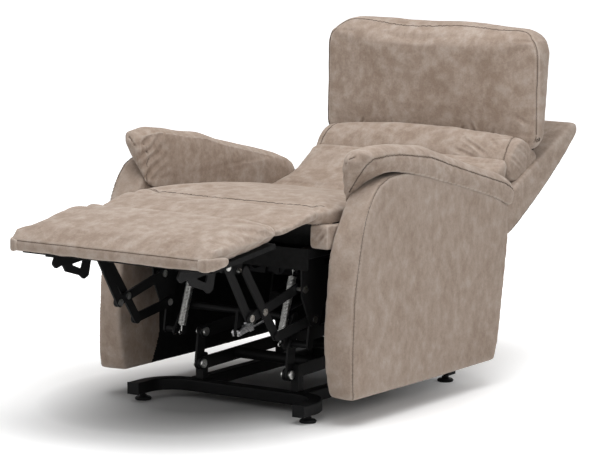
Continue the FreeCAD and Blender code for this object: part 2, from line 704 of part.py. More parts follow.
def pin(name, centre, inner_x, outer_x):
    """A riveted pivot pin with a low head at each end."""
    return bolt(name, centre, inner_x, outer_x, "pin_radius", "pin_head", size.pin_head_thickness)


def scissor_pins():
    """Pivot pins of the scissor, each on the body that carries it."""
    thick = size.link_thickness
    gap = size.open_gap
    plate_outer = size.side_plate_offset + size.side_plate_thickness
    plate_pins = []
    for place, centre, inner_x in (("long", LONG_PIVOT, layer(2)), ("rear", REAR_PIVOT, layer(0))):
        one = pin("plate_pin_" + place, centre, inner_x - gap, plate_outer)
        plate_pins += [one, mirrored(one, "plate_pin_other_" + place)]
    hinge_bolt = bolt("back_hinge_bolt", BACK_HINGE, layer(0) - gap, plate_outer, "bolt_radius",
                      "bolt_head", size.pin_head_thickness)
    plate_pins += [hinge_bolt, mirrored(hinge_bolt, "back_hinge_bolt_other")]
    group_of(plate_pins, "side_plate_pins")
    cross = pin("link_pin_cross", CROSS_JOINT, layer(2), layer(1) + thick + gap)
    low = pin("link_pin_low_front", LOW_FRONT_JOINT, layer(3) - gap, layer(2) + thick)
    group_of([cross, mirrored(cross, "link_pin_cross_other"), low,
              mirrored(low, "link_pin_low_front_other")], "long_link_pins")


def spring_pin(name, centre):
    """A short pin, sticking inwards from a plate, that a return spring hooks on."""
    return round_bar(name, centre, size.spring_offset - 3.5, size.crank_offset + 1, "spring_pin")


def spring_anchors():
    """Small plates under the front cross rail whose pins hold the springs' upper hooks."""
    plate = new_body("spring_anchor_plate")
    sketch = sketch_on(plate, "YZ_Plane", size.crank_offset)
    foot_y, foot_z = CROSS_RAILS["front"], cross_rail_height()
    draw_corners(sketch, [(foot_y - 10, foot_z, 0), (SPRING_HIGH[0] - 8, SPRING_HIGH[1] - 8, 8),
                          (SPRING_HIGH[0] + 8, SPRING_HIGH[1] - 8, 8), (foot_y + 10, foot_z, 0)])
    pad(plate, sketch, "<<dims>>.ear_thickness")
    both_sides(fused("spring_anchor", [plate, spring_pin("spring_anchor_pin", SPRING_HIGH)]),
               "spring_anchors")


def drive_shaft():
    """The shaft in line with the rear pivots that turns both rear links through crank plates."""
    reach = size.crank_offset + size.crank_thickness
    shaft = round_bar("drive_shaft_bar", REAR_PIVOT, -reach, reach, "drive_tube_radius")
    shapes = [shaft, lug_plate("actuator_lug", REAR_PIVOT, FOOT_LUG)]
    crank = flat_bar("crank_plate", [(REAR_PIVOT, DRIVE_STUB)], [], size.crank_offset, 12.0,
                     "crank_thickness")
    stub = round_bar("crank_stub", DRIVE_STUB, size.crank_offset + 1, layer(0), "drive_tube_radius")
    lever = flat_bar("spring_lever", [(REAR_PIVOT, SPRING_LOW)], [], size.crank_offset, 9.0,
                     "crank_thickness")
    for part in (crank, stub, lever, spring_pin("spring_lever_pin", SPRING_LOW)):
        shapes += [part, mirrored(part, part.Name + "_other_side")]
    keep(fused("drive_shaft", shapes), "footrest_drive_shaft")


def return_springs():
    """Long extension springs from the front cross rail down to the levers on the drive tube."""
    low = Vector(0, SPRING_LOW[0], SPRING_LOW[1])
    high = Vector(0, SPRING_HIGH[0], SPRING_HIGH[1])
    along = (high - low).normalize()
    hook = 13.0
    coil_length = (high - low).Length - 2 * hook
    springs = []
    for side in (1, -1):
        base = low + along * hook + Vector(side * size.spring_offset, 0, 0)
        coil = Part.makeCylinder(size.spring_coil + size.spring_wire, coil_length, base, along)
        reach = hook - size.spring_pin - size.open_gap
        for end, out in ((base, -along), (base + along * coil_length, along)):
            coil = coil.fuse(Part.makeCylinder(size.spring_wire, reach + 1, end - out, out))
        springs.append(coil)
    feature = doc.addObject("Part::Feature", "return_springs")
    feature.Shape = Part.makeCompound(springs)
    feature.Placement = Placement(set_in_place(0, 0, 0), Rotation())
    keep(feature, "return_springs")


# ---------------------------------------------------------------- footrest and calf pad

FOOTREST_SLOPE = 6.0


def along_footrest(reach, drop):
    """A point of the footrest: reach from the crease towards the feet, drop below its top."""
    top_of_crease = (CREASE[0], CREASE[1] + 13)
    point = (top_of_crease[0] - reach, top_of_crease[1] - drop)
    return turned(point, top_of_crease, FOOTREST_SLOPE)


def footrest():
    """The padded footrest on its board, and the steel brackets that the scissor carries."""
    thick = size.footrest_thickness
    length = size.footrest_length
    body = new_body("footrest_pad_body")
    sketch = sketch_on(body, "YZ_Plane")
    corners = [(3, 0, 12), (length, 0, 14), (length + 6, thick, 12), (3, thick, 12)]
    draw_corners(sketch, [along_footrest(reach, drop) + (radius,) for reach, drop, radius in corners])
    across(body, sketch, "footrest_half_width")
    keep(body, "footrest_pad")
    board = new_body("footrest_board_body")
    sketch = sketch_on(board, "YZ_Plane")
    low, high = thick + 0.3, thick + 0.3 + size.board_thickness
    corners = [(14, low, 0), (length - 30, low, 0), (length - 30, high, 3), (14, high, 3)]
    draw_corners(sketch, [along_footrest(reach, drop) + (radius,) for reach, drop, radius in corners])
    feature = board.newObject("PartDesign::Pad", "footrest_board_pad")
    feature.Profile = sketch
    feature.Length = 2 * size.footrest_half_width - 28
    feature.Midplane = True
    keep(board, "footrest_board")
    bracket = new_body("footrest_bracket_body")
    inner_x = layer(4)
    sketch = sketch_on(bracket, "YZ_Plane", inner_x)
    front_top = along_footrest(length - 32, high)
    rear_top = along_footrest(20, high)
    half = size.link_half_width
    # Going back from the foot end: a knob, the long lobe with its window, and the two joints' hubs.
    lobe = [(length - 20, 66, 6), (length - 32, 80, 7), (242, 77, 3), (232, 96, 5), (180, 118, 12),
            (166, 131, 8), (147, 126, 7), (134, 92, 5), (124, 68, 8)]
    draw_corners(sketch, [rear_top + (0,), front_top + (0,)] + [
        along_footrest(reach, drop) + (radius,) for reach, drop, radius in lobe] + [
        (FOOT_FRONT_JOINT[0] - 16, FOOT_FRONT_JOINT[1] - half, 11),
        (FOOT_REAR_JOINT[0] + half, FOOT_REAR_JOINT[1] - half, 11),
        (FOOT_REAR_JOINT[0] + 26, FOOT_REAR_JOINT[1] + 30, 12),
        along_footrest(22, high + 12) + (6,)])
    pad(bracket, sketch, "<<dims>>.link_thickness")
    drill(bracket, [(FOOT_FRONT_JOINT, "pin_radius", 0), (FOOT_REAR_JOINT, "pin_radius", 0)], inner_x)
    window = sketch_on(bracket, "YZ_Plane", inner_x)
    lobe_window = [(212, 83, 2), (162, 84, 3), (172, 103, 3)]
    draw_corners(window, [along_footrest(reach, drop) + (radius,) for reach, drop, radius in lobe_window])
    draw_corners(window, [(FOOT_FRONT_JOINT[0] + 8, FOOT_FRONT_JOINT[1] + 18, 3),
                          (FOOT_REAR_JOINT[0] - 4, FOOT_REAR_JOINT[1] + 19, 3),
                          along_footrest(38, high + 9) + (3,)])
    pocket = bracket.newObject("PartDesign::Pocket", "footrest_bracket_window")
    pocket.Profile = window
    pocket.Type = 1
    pocket.Midplane = True
    flange = sketch_on(bracket, "YZ_Plane", inner_x + size.link_thickness)
    draw_corners(flange, [rear_top + (0,), front_top + (0,), along_footrest(length - 32, high + 4) + (0,),
                          along_footrest(20, high + 4) + (0,)])
    flange_pad = bracket.newObject("PartDesign::Pad", "footrest_bracket_flange")
    flange_pad.Profile = flange
    flange_pad.Length = 26
    both_sides(bracket, "footrest_brackets")
    pins = []
    one = pin("footrest_pin_front", FOOT_FRONT_JOINT, inner_x,
              layer(3) + size.link_thickness + size.open_gap)
    pins += [one, mirrored(one, "footrest_pin_front_other")]
    stub = round_bar("footrest_stub", FOOT_REAR_JOINT, inner_x, layer(3) + size.link_thickness, "pin_radius")
    stub_head = round_bar("footrest_stub_head", FOOT_REAR_JOINT, inner_x - size.pin_head_thickness,
                          inner_x, "pin_head")
    rear = fused("footrest_pin_rear", [stub, stub_head])
    pins += [rear, mirrored(rear, "footrest_pin_rear_other")]
    group_of(pins, "footrest_bracket_pins")


def calf_pad():
    """The pad between seat and footrest, rolled round its hinge at the seat's front edge."""
    roll = size.calf_thickness / 2
    body = new_body("calf_pad_body")
    hinge_y, hinge_z = CALF_HINGE
    front_y = CREASE[0] + 3
    sketch = sketch_on(body, "YZ_Plane")
    sketch.addGeometry(Part.Arc(Vector(hinge_y, hinge_z + roll, 0), Vector(hinge_y + roll, hinge_z, 0),
                                Vector(hinge_y, hinge_z - roll, 0)))
    draw_runs(sketch, [
        [(hinge_y, hinge_z - roll), (front_y + 12, CREASE[1] - 15)],
        [(front_y + 12, CREASE[1] - 15), (front_y, CREASE[1] - 2), (front_y + 14, CREASE[1] + 15)],
        [(front_y + 14, CREASE[1] + 15), (hinge_y, hinge_z + roll)]])
    across(body, sketch, "calf_half_width")
    keep(body, "calf_pad")


# ---------------------------------------------------------------- seat

def seat_cushion():
    """The seat: a wide pad over a narrower block of foam that sits down between the rails."""
    roll = size.calf_thickness / 2
    front = CALF_HINGE[0] + roll + size.open_gap
    step = size.seat_top - 38
    body = new_body("seat_cushion_body")
    sketch = sketch_on(body, "YZ_Plane")
    rear = size.seat_back_edge
    draw_runs(sketch, [
        [(front, step), (rear, step - 20)],
        [(rear, step - 20), (rear, size.seat_top - 42)],
        [(rear, size.seat_top - 42), (380, size.seat_top - 22), (200, size.seat_top - 3),
         (110, size.seat_top), (20, size.seat_top - 3), (front, size.seat_top - 6)],
        [(front, size.seat_top - 6), (front, step)]])
    across(body, sketch, "seat_half_width")
    core = sketch_on(body, "YZ_Plane")
    draw_corners(core, [(front, seat_under(), 8), (rear - 4, seat_under(), 8),
                        (rear - 4, step, 0), (front, step + 2, 0)])
    across(body, core, "seat_core_half_width")
    sag = sketch_on(body, "YZ_Plane")
    strap_top = cross_rail_height() + size.rail_tube + 2.5
    draw_corners(sag, [(CROSS_RAILS["front"] - 8, strap_top + size.open_gap, 8),
                       (CROSS_RAILS["rear"] + 8, strap_top + size.open_gap, 8),
                       (CROSS_RAILS["rear"] + 8, seat_under() + 2, 0),
                       (CROSS_RAILS["front"] - 8, seat_under() + 2, 0)])
    sag_pad = body.newObject("PartDesign::Pad", "seat_foam_between_rails")
    sag_pad.Profile = sag
    sag_pad.setExpression("Length", "2 * <<dims>>.side_plate_offset - 2")
    sag_pad.Midplane = True
    keep(body, "seat_cushion")


def seat_front_trim():
    """Upholstered fillers beside the seat foam, and the black cloth that closes its front."""
    outer = size.arm_outside - size.arm_width - size.open_gap
    step = size.seat_top - 38
    filler = new_body("seat_filler_body")
    sketch = sketch_on(filler, "YZ_Plane", size.seat_core_half_width + size.open_gap)
    draw_corners(sketch, [(-4, seat_under(), 10), (95, seat_under(), 4), (95, step - 4.4, 4),
                          (-4, step - 0.9, 10)])
    feature = filler.newObject("PartDesign::Pad", "seat_filler_pad")
    feature.Profile = sketch
    feature.Length = outer - size.seat_core_half_width - size.open_gap
    both_sides(filler, "seat_side_fillers")
    rail_outer = size.side_plate_offset + size.side_plate_thickness + size.rail_tube
    cloth = block("front_cloth_sheet", (-rail_outer, -5.8, cross_rail_height() - 4),
                  (rail_outer, -4.3, seat_under() - 0.6))
    keep(cloth, "front_dust_cloth")


# ---------------------------------------------------------------- arms

def arm_front_line(outer):
    """The front edge of an arm, from its foot up to the crown; it lies further forward inside."""
    if outer:
        low_part = [(-12, size.arm_bottom), (-12, 150), (-9, 236), (0, 326), (18, 414)]
    else:
        low_part = [(-1, size.arm_bottom), (-23, 150), (-26, 236), (-17, 326), (0, 414)]
    return low_part + [(42, 490), (80, 548), (126, size.arm_top - 17), (160, size.arm_top - 5),
                       (205, size.arm_top)]


def arm_shoulder_line():
    """The top edge of the arm panel under the pad, from the crown down to the rear corner."""
    rear = size.arm_depth
    return [(205, size.arm_top), (282, size.arm_top - 13), (468, size.arm_top - 57),
            (636, size.arm_top - 109), (rear, size.arm_top - 142)]


def arms():
    """Padded side panels with a bowed front, and the pads that lie over them."""
    inner = size.arm_outside - size.arm_width
    rear = size.arm_depth
    body = new_body("arm_panel_body")
    faces = []
    for side_face in ("inner", "outer"):
        front = arm_front_line(side_face == "outer")
        sketch = sketch_on(body, "YZ_Plane", inner)
        draw_runs(sketch, [
            front, arm_shoulder_line(),
            [(rear, size.arm_top - 142), (rear - 10, 350), (rear - 28, 242), (rear - 72, size.arm_bottom)],
            [(rear - 72, size.arm_bottom), front[0]]])
        faces.append(sketch)
    faces[1].setExpression("AttachmentOffset.Base.z", "<<dims>>.arm_outside")
    loft = body.newObject("PartDesign::AdditiveLoft", "arm_panel_loft")
    loft.Profile = faces[0]
    loft.Sections = [faces[1]]
    loft.Ruled = True
    left_and_right(body, "arm_panel")
    seat_gap = 5.0
    lift = 0.3
    under = [(y, z + lift) for y, z in arm_shoulder_line()]
    nose = (66, size.arm_top - 44)
    crest = [nose, (56, size.pad_crown - 62), (72, size.pad_crown - 28), (110, size.pad_crown - 8),
             (165, size.pad_crown + 2), (225, size.pad_crown), (300, size.pad_crown - 9),
             (440, size.pad_crown - 42), (620, size.pad_crown - 98), (712, size.pad_crown - 134),
             (rear + 26, size.pad_crown - 160)]
    pad_body = new_body("arm_pad_body")
    sketch = sketch_on(pad_body, "YZ_Plane", inner - size.pad_drape)
    end = (rear + 30, size.arm_top - 150)
    draw_runs(sketch, [
        crest,
        [crest[-1], (rear + 34, size.pad_crown - 182), end],
        [end, under[-1]],
        list(reversed(under)),
        [under[0], (165, size.arm_top + 1), (115, size.arm_top - 10), nose]])
    pad(pad_body, sketch, "<<dims>>.arm_width + <<dims>>.pad_drape + <<dims>>.pad_overhang")
    drape = sketch_on(pad_body, "YZ_Plane", inner - size.pad_drape)
    floor = size.seat_top + seat_gap
    draw_runs(drape, [
        [nose, (78, size.arm_top - 56), (84, floor)],
        [(84, floor), (rear - 5, floor - 62)],
        [(rear - 5, floor - 62), end],
        [end, crest[-1]],
        list(reversed(crest))])
    drape_pad = pad(pad_body, drape, "<<dims>>.pad_drape - 0.3")
    del drape_pad
    left_and_right(pad_body, "arm_pad")


# ---------------------------------------------------------------- back

BACK_SLOPE = 24.41
BACK_START = 665.0


def back_plane(y, proud=0.0):
    """A point of the back shell's front face at y, or standing proud of it."""
    slope = math.radians(BACK_SLOPE)
    z = 501.0 + (y - 880.0) * math.tan(slope)
    return (y - proud * math.sin(slope), z + proud * math.cos(slope))


def back_shell():
    """The upholstered back: thick at the waist, thin at the top, wider above the arms."""
    side = new_body("back_side_view")
    sketch = sketch_on(side, "YZ_Plane")
    low_rear = (690, 318)
    top = (1140, back_plane(1140)[1])
    draw_runs(sketch, [
        [back_plane(BACK_START), top],
        [top, (1160, 619), (1169, 603), (1158, 585)],
        [(1158, 585), (1116, 549), (1041, 493), (955, 437), (820, 361), low_rear],
        [low_rear, back_plane(BACK_START)]])
    across(side, sketch, "back_half_width")
    above = new_body("back_top_view")
    sketch = sketch_on(above, "XY_Plane", 280)
    low, wide = size.back_low_half_width, size.back_half_width
    shoulder = 800.0
    draw_corners(sketch, [
        (-low, BACK_START - 5, 0), (low, BACK_START - 5, 0), (low, shoulder, 12), (wide, shoulder + 26, 12),
        (wide, 1185, 34), (-wide, 1185, 34), (-wide, shoulder + 26, 12), (-low, shoulder, 12)])
    feature = above.newObject("PartDesign::Pad", "back_top_view_pad")
    feature.Profile = sketch
    feature.Length = 400
    shell = doc.addObject("Part::MultiCommon", "back_shell_form")
    shell.Shapes = [side, above]
    keep(shell, "back_shell")


def back_cushions():
    """The lumbar cushion and the shoulder roll that lie on the back shell."""
    lift = 0.4
    lumbar = new_body("lumbar_cushion_body")
    sketch = sketch_on(lumbar, "YZ_Plane")
    low, high = back_plane(655, lift), back_plane(812, lift)
    draw_runs(sketch, [
        [low, high],
        [high, (800, 488), (782, 497)],
        [(782, 497), (735, 488), (690, 470), (640, 452), (606, 432)],
        [(606, 432), (603, 416), (617, 404), low]])
    across(lumbar, sketch, "back_low_half_width")
    keep(lumbar, "lumbar_cushion")
    shoulder = new_body("shoulder_cushion_body")
    sketch = sketch_on(shoulder, "YZ_Plane")
    low, high = back_plane(815, lift), back_plane(934, lift)
    draw_runs(sketch, [
        [low, high],
        [high, (931, 570), (920, 597), (896, 604), (852, 586), (812, 558), (791, 532), (786, 502),
         (800, 490), low]])
    across(shoulder, sketch, "cushion_half_width")
    keep(shoulder, "shoulder_cushion")


def back_frame():
    """Steel brackets that hinge the back on the side plates, and their cross bar."""
    inner_x = layer(0)
    body = new_body("back_bracket_body")
    sketch = sketch_on(body, "YZ_Plane", inner_x)
    slope_top = back_plane(BACK_START - 0.3)
    draw_corners(sketch, [
        (BACK_HINGE[0] - 20, BACK_HINGE[1] + 16, 15), (BACK_HINGE[0] + 14, BACK_HINGE[1] + 16, 12),
        (slope_top[0] - 2, slope_top[1] - 14, 0), (688, 322, 0),
        (BACK_CRANK[0] + 18, BACK_CRANK[1] - 16, 14), (BACK_CRANK[0] - 16, BACK_CRANK[1] - 16, 15),
        (BACK_HINGE[0] - 22, BACK_HINGE[1] - 20, 20)])
    pad(body, sketch, "<<dims>>.link_thickness")
    drill(body, [(BACK_HINGE, "bolt_radius", size.pin_clearance)], inner_x)
    both_sides(body, "back_hinge_brackets")
    tube = round_bar("back_cross_tube", BACK_CRANK, -inner_x, inner_x, "drive_tube_radius")
    keep(fused("back_cross_bar_form", [tube, lug_plate("back_lug", BACK_CRANK, BACK_LUG)]),
         "back_cross_bar")


# ---------------------------------------------------------------- headrest

HEADREST_LEAN = 73.1


def along_headrest(reach, forward):
    """A point of the raised headrest: reach up its rear face, forward out of that face."""
    lean = math.radians(HEADREST_LEAN)
    start = (HEADREST_HINGE[0] + 10, HEADREST_HINGE[1])
    return (start[0] + reach * math.cos(lean) - forward * math.sin(lean),
            start[1] + reach * math.sin(lean) + forward * math.cos(lean))


def headrest():
    """The raised headrest: a deep padded cushion over a board on two hinge arms."""
    side = new_body("headrest_side_view")
    sketch = sketch_on(side, "YZ_Plane")
    board = size.board_thickness + 0.3
    low, high = along_headrest(24, board), along_headrest(244, board)
    lip = along_headrest(246, 2)
    draw_runs(sketch, [
        [low, high],
        [high, lip],
        [lip, (1037, 812), (1020, 850), (986, 866), (953, 851), (936, 815), (925, 755), (922, 700),
         (925, 645), (935, 607)],
        [(935, 607), (942, 592), low]])
    across(side, sketch, "headrest_half_width")
    front = new_body("headrest_front_view")
    sketch = sketch_on(front, "XZ_Plane", -1060)
    half = size.headrest_half_width
    corner = size.headrest_corner
    draw_corners(sketch, [(-half, 560, 18), (half, 560, 18), (half, 868, corner), (-half, 868, corner)])
    feature = front.newObject("PartDesign::Pad", "headrest_front_view_pad")
    feature.Profile = sketch
    feature.Length = 160
    cushion = doc.addObject("Part::MultiCommon", "headrest_form")
    cushion.Shapes = [side, front]
    keep(cushion, "headrest_cushion")
    body = new_body("headrest_board_body")
    sketch = sketch_on(body, "YZ_Plane")
    draw_runs(sketch, [
        [along_headrest(22, 0), along_headrest(242, 0)],
        [along_headrest(242, 0), along_headrest(242, size.board_thickness)],
        [along_headrest(242, size.board_thickness), along_headrest(22, size.board_thickness)],
        [along_headrest(22, size.board_thickness), along_headrest(22, 0)]])
    feature = body.newObject("PartDesign::Pad", "headrest_board_pad")
    feature.Profile = sketch
    feature.Length = 2 * size.headrest_half_width - 40
    feature.Midplane = True
    keep(body, "headrest_board")


def headrest_hinges():
    """Two plain knuckle hinges: arms on the headrest board, ears and pins on the back."""
    knuckle = 8.0
    arm_half = 14.0
    arms_list, ears_list, pins = [], [], []
    for place, centre_x in (("left", 120.0), ("right", -120.0)):
        barrel = round_bar("headrest_barrel_" + place, HEADREST_HINGE, centre_x - arm_half,
                           centre_x + arm_half, "rod_radius", -1.0)
        strap = new_body("headrest_strap_" + place)
        sketch = sketch_on(strap, "YZ_Plane", centre_x - arm_half)
        draw_runs(sketch, [
            [along_headrest(-2, 6), along_headrest(21.7, 4)],
            [along_headrest(21.7, 4), along_headrest(21.7, 10)],
            [along_headrest(21.7, 10), along_headrest(-2, 12)],
            [along_headrest(-2, 12), along_headrest(-2, 6)]])
        feature = strap.newObject("PartDesign::Pad", "headrest_strap_pad_" + place)
        feature.Profile = sketch
        feature.Length = 2 * arm_half
        bore = round_bar("headrest_bore_" + place, HEADREST_HINGE, centre_x - arm_half - 1,
                         centre_x + arm_half + 1, "pin_radius", size.pin_clearance)
        arm_form = fused("headrest_arm_form_" + place, [barrel, strap])
        arms_list.append(cut("headrest_arm_" + place, arm_form, bore))
        pins.append(round_bar("headrest_pin_" + place, HEADREST_HINGE, centre_x - arm_half - 7,
                              centre_x + arm_half + 7, "pin_radius"))
        for side, start in ((1, centre_x + arm_half + 0.5), (-1, centre_x - arm_half - 6.5)):
            ear = new_body("headrest_ear_%s_%d" % (place, side))
            sketch = sketch_on(ear, "YZ_Plane", start)
            foot_low, foot_high = back_plane(937, 0.0), back_plane(965, 0.0)
            draw_corners(sketch, [foot_low + (0,), foot_high + (0,),
                                  (HEADREST_HINGE[0] + knuckle, HEADREST_HINGE[1] + knuckle, 6),
                                  (HEADREST_HINGE[0] - knuckle, HEADREST_HINGE[1] + knuckle, 6)])
            draw_hole(sketch, HEADREST_HINGE, "pin_radius")
            feature = ear.newObject("PartDesign::Pad", "headrest_ear_pad_%s_%d" % (place, side))
            feature.Profile = sketch
            feature.Length = 6
            ears_list.append(ear)
    group_of(arms_list, "headrest_hinge_arms")
    group_of(ears_list + pins, "headrest_hinge_ears")


# ---------------------------------------------------------------- actuators

ACTUATORS = {
    "lift": {"pivot": LIFT_MOTOR_PIVOT, "end": LIFT_LUG, "motor_side": 1, "retract": 0.0, "prong": 44.0},
    "footrest": {"pivot": FOOT_MOTOR_PIVOT, "end": FOOT_LUG, "motor_side": -1, "retract": 70.0, "prong": 44.0},
    "back": {"pivot": BACK_MOTOR_PIVOT, "end": BACK_LUG, "motor_side": 1, "retract": 0.0, "prong": 26.0},
}


def actuator(name):
    """A linear actuator: gear case, motor and tube in one housing, and the rod that slides in it."""
    data = ACTUATORS[name]
    pivot, end = data["pivot"], data["end"]
    length = math.hypot(end[0] - pivot[0], end[1] - pivot[1])
    lean = math.degrees(math.atan2(end[1] - pivot[1], end[0] - pivot[0]))
    place = Placement(set_in_place(0, pivot[0], pivot[1]), Rotation(Vector(1, 0, 0), lean))
    fork = data["prong"] + 14.0
    tube_end = length - fork - data["retract"] - 8.0
    case_start, case_length = 20.0, 58.0

    def lengthwise(label, start, radius_alias, span, extra=0.0, side=0.0):
        shape = doc.addObject("Part::Cylinder", name + label)
        shape.setExpression("Radius", "<<dims>>.%s + %s" % (radius_alias, extra))
        shape.Height = span
        shape.Placement = place * Placement(Vector(side, start, 0), Rotation(Vector(1, 0, 0), -90))
        return shape

    def crosswise(label, radius, start_x, width, reach=0.0):
        shape = doc.addObject("Part::Cylinder", name + label)
        shape.Radius = radius
        shape.Height = width
        shape.Placement = place * Placement(Vector(start_x, reach, 0), Rotation(Vector(0, 1, 0), 90))
        return shape

    def cuboid(label, low, high):
        shape = doc.addObject("Part::Box", name + label)
        shape.Length, shape.Width, shape.Height = [b - a for a, b in zip(low, high)]
        shape.Placement = place * Placement(Vector(*low), Rotation())
        return shape

    side = data["motor_side"]
    eye_half = 6.0
    pin_size = size.drive_tube_radius if name == "footrest" else size.pin_radius
    case = cuboid("_gear_case", (-24, case_start, -22), (24, case_start + case_length, 22))
    eye = crosswise("_rear_eye", pin_size + 6, -eye_half, 2 * eye_half)
    neck = cuboid("_eye_neck", (-eye_half, 0, -9), (eye_half, case_start + 4, 9))
    elbow = cuboid("_motor_elbow", (min(20 * side, 60 * side), case_start + 8, -18),
                   (max(20 * side, 60 * side), case_start + 48, 18))
    motor = lengthwise("_motor_can", case_start + 12, "motor_radius", size.motor_length, 0.0, 52.0 * side)
    tube = lengthwise("_outer_tube", case_start + case_length - 2, "actuator_tube",
                      tube_end - case_start - case_length + 2)
    solid = fused(name + "_housing_solid", [case, eye, neck, elbow, motor, tube])
    rod_bore = lengthwise("_bore", case_start + 20, "rod_radius", tube_end, size.rod_clearance)
    eye_bore = crosswise("_eye_bore", pin_size + size.pin_clearance, -eye_half - 1, 2 * eye_half + 2)
    keep(cut(name + "_housing", solid, fused(name + "_bores", [rod_bore, eye_bore])), name + "_motor")
    rod_start = case_start + 24 + data["retract"]
    rod = lengthwise("_rod_bar", rod_start, "rod_radius", length - fork - rod_start + 3)
    prong_inner = size.lug_thickness / 2 + 1.0
    prong_outer = prong_inner + 4.0
    shapes = [rod, cuboid("_fork_root", (-prong_outer, length - fork, -11),
                          (prong_outer, length - data["prong"], 11))]
    for hand in (1, -1):
        low_x, high_x = sorted((hand * prong_inner, hand * prong_outer))
        shapes.append(cuboid("_prong_%s" % ("left" if hand > 0 else "right"),
                             (low_x, length - data["prong"] - 2, -8), (high_x, length + 8, 8)))
        shapes.append(crosswise("_fork_bolt_%s" % ("left" if hand > 0 else "right"), 7.0,
                                high_x - 0.5 if hand > 0 else low_x - 3.5, 4.0, length))
    keep(fused(name + "_rod_form", shapes), name + "_rod")


def actuator_brackets():
    """Ears on the rear base bar and under the front cross rail that hold two rear eyes by pins."""
    for name, foot_y, foot_z in (("lift", size.base_rear - 4, size.base_underside + size.frame_tube),
                                 ("back", CROSS_RAILS["front"], cross_rail_height())):
        if name == "back":
            draw_from_rails()
        pivot = ACTUATORS[name]["pivot"]
        lean = 1 if foot_z > pivot[1] else -1
        shapes = []
        for side in (1, -1):
            start = 6.5 if side > 0 else -6.5 - size.ear_thickness
            ear = new_body("%s_ear_%s" % (name, "left" if side > 0 else "right"))
            sketch = sketch_on(ear, "YZ_Plane", start)
            corners = [(foot_y - 10, foot_z, 0), (foot_y + 10, foot_z, 0)]
            if pivot[0] > foot_y:
                corners += [(pivot[0] + 10, pivot[1] - lean * 2, 8), (pivot[0] + 6, pivot[1] - lean * 11, 8),
                            (pivot[0] - 12, pivot[1] - lean * 11, 9)]
            else:
                corners += [(pivot[0] + 12, pivot[1] - lean * 12, 9), (pivot[0] - 11, pivot[1] - lean * 12, 9),
                            (pivot[0] - 11, pivot[1] + lean * 8, 9)]
            draw_corners(sketch, corners)
            pad(ear, sketch, "<<dims>>.ear_thickness")
            shapes.append(ear)
        shapes.append(round_bar(name + "_eye_pin", pivot, -14.0, 14.0, "pin_radius"))
        keep(fused(name + "_bracket_form", shapes), name + "_motor_bracket")


def control_box():
    """The box that feeds the motors, under the rear cross rail."""
    low = (-60.0, CROSS_RAILS["rear"] - 52, cross_rail_height() - 30)
    high = (60.0, CROSS_RAILS["rear"] + 12, cross_rail_height())
    keep(block("control_box_form", low, high), "control_box")


# ---------------------------------------------------------------- the chair

base_front_bar()
base_frame()
levelling_feet()
lift_towers()
lift_arms()
lift_bolts()
lift_hangers()
actuator("lift")

draw_from_rails()
seat_frame()
side_plates()
arm_brackets()
scissor_links()
scissor_pins()
drive_shaft()
spring_anchors()
return_springs()
footrest()
calf_pad()
seat_cushion()
seat_front_trim()
arms()
back_shell()
back_cushions()
back_frame()
headrest()
headrest_hinges()
actuator("footrest")
actuator("back")
control_box()

draw_from_floor()
actuator_brackets()

doc.recompute()
for feature in doc.Objects:
    if "Invalid" in feature.State or "Error" in feature.State:
        raise RuntimeError("%s did not build: %s" % (feature.Name, feature.State))
os.makedirs("parts", exist_ok=True)
for node in nodes:
    if node.Shape.isNull() or not node.Shape.isValid():
        raise RuntimeError("%s has no valid shape" % node.Label)
    node.Shape.exportStep("parts/%s.step" % node.Label)
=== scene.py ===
import bmesh
import bpy
import json
import math
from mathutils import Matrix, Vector, noise
from mathutils.bvhtree import BVHTree
from mathutils.kdtree import KDTree


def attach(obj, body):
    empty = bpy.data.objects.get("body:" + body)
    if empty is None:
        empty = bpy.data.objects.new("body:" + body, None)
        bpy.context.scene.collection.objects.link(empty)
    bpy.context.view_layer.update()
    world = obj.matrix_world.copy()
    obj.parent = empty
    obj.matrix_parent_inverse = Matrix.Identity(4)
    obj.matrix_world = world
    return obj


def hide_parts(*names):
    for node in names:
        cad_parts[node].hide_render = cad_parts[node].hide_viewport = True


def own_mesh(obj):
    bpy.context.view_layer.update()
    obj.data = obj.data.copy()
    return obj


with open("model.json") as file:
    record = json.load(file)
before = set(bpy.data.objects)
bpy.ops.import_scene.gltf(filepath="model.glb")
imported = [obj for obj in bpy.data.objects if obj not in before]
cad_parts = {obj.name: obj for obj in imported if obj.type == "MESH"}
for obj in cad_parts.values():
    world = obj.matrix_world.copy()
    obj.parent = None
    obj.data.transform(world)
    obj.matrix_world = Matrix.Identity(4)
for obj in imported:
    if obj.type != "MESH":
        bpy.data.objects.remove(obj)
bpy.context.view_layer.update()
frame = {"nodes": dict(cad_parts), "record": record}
nodes = frame["nodes"]
scene = bpy.context.scene

# All shapes are in the chair's own millimetres: y = 0 is the front of the arms, z = 0 is the floor.
SETBACK = 347.2


def at(x, y, z):
    """A point of the chair, in metres of the row's frame."""
    return Vector((x / 1000.0, (y - SETBACK) / 1000.0, z / 1000.0))


def chair(p):
    """The chair's millimetres of a point in metres."""
    return p.x * 1000.0, p.y * 1000.0 + SETBACK, p.z * 1000.0


def smooth_step(low, high, value):
    t = min(1.0, max(0.0, (value - low) / (high - low)))
    return t * t * (3 - 2 * t)


# ---------------------------------------------------------------- materials

def new_material(name):
    material = bpy.data.materials.new(name)
    material.use_nodes = True
    tree = material.node_tree
    for node in list(tree.nodes):
        tree.nodes.remove(node)
    output = tree.nodes.new("ShaderNodeOutputMaterial")
    shader = tree.nodes.new("ShaderNodeBsdfPrincipled")
    tree.links.new(shader.outputs[0], output.inputs[0])
    return material, tree, shader


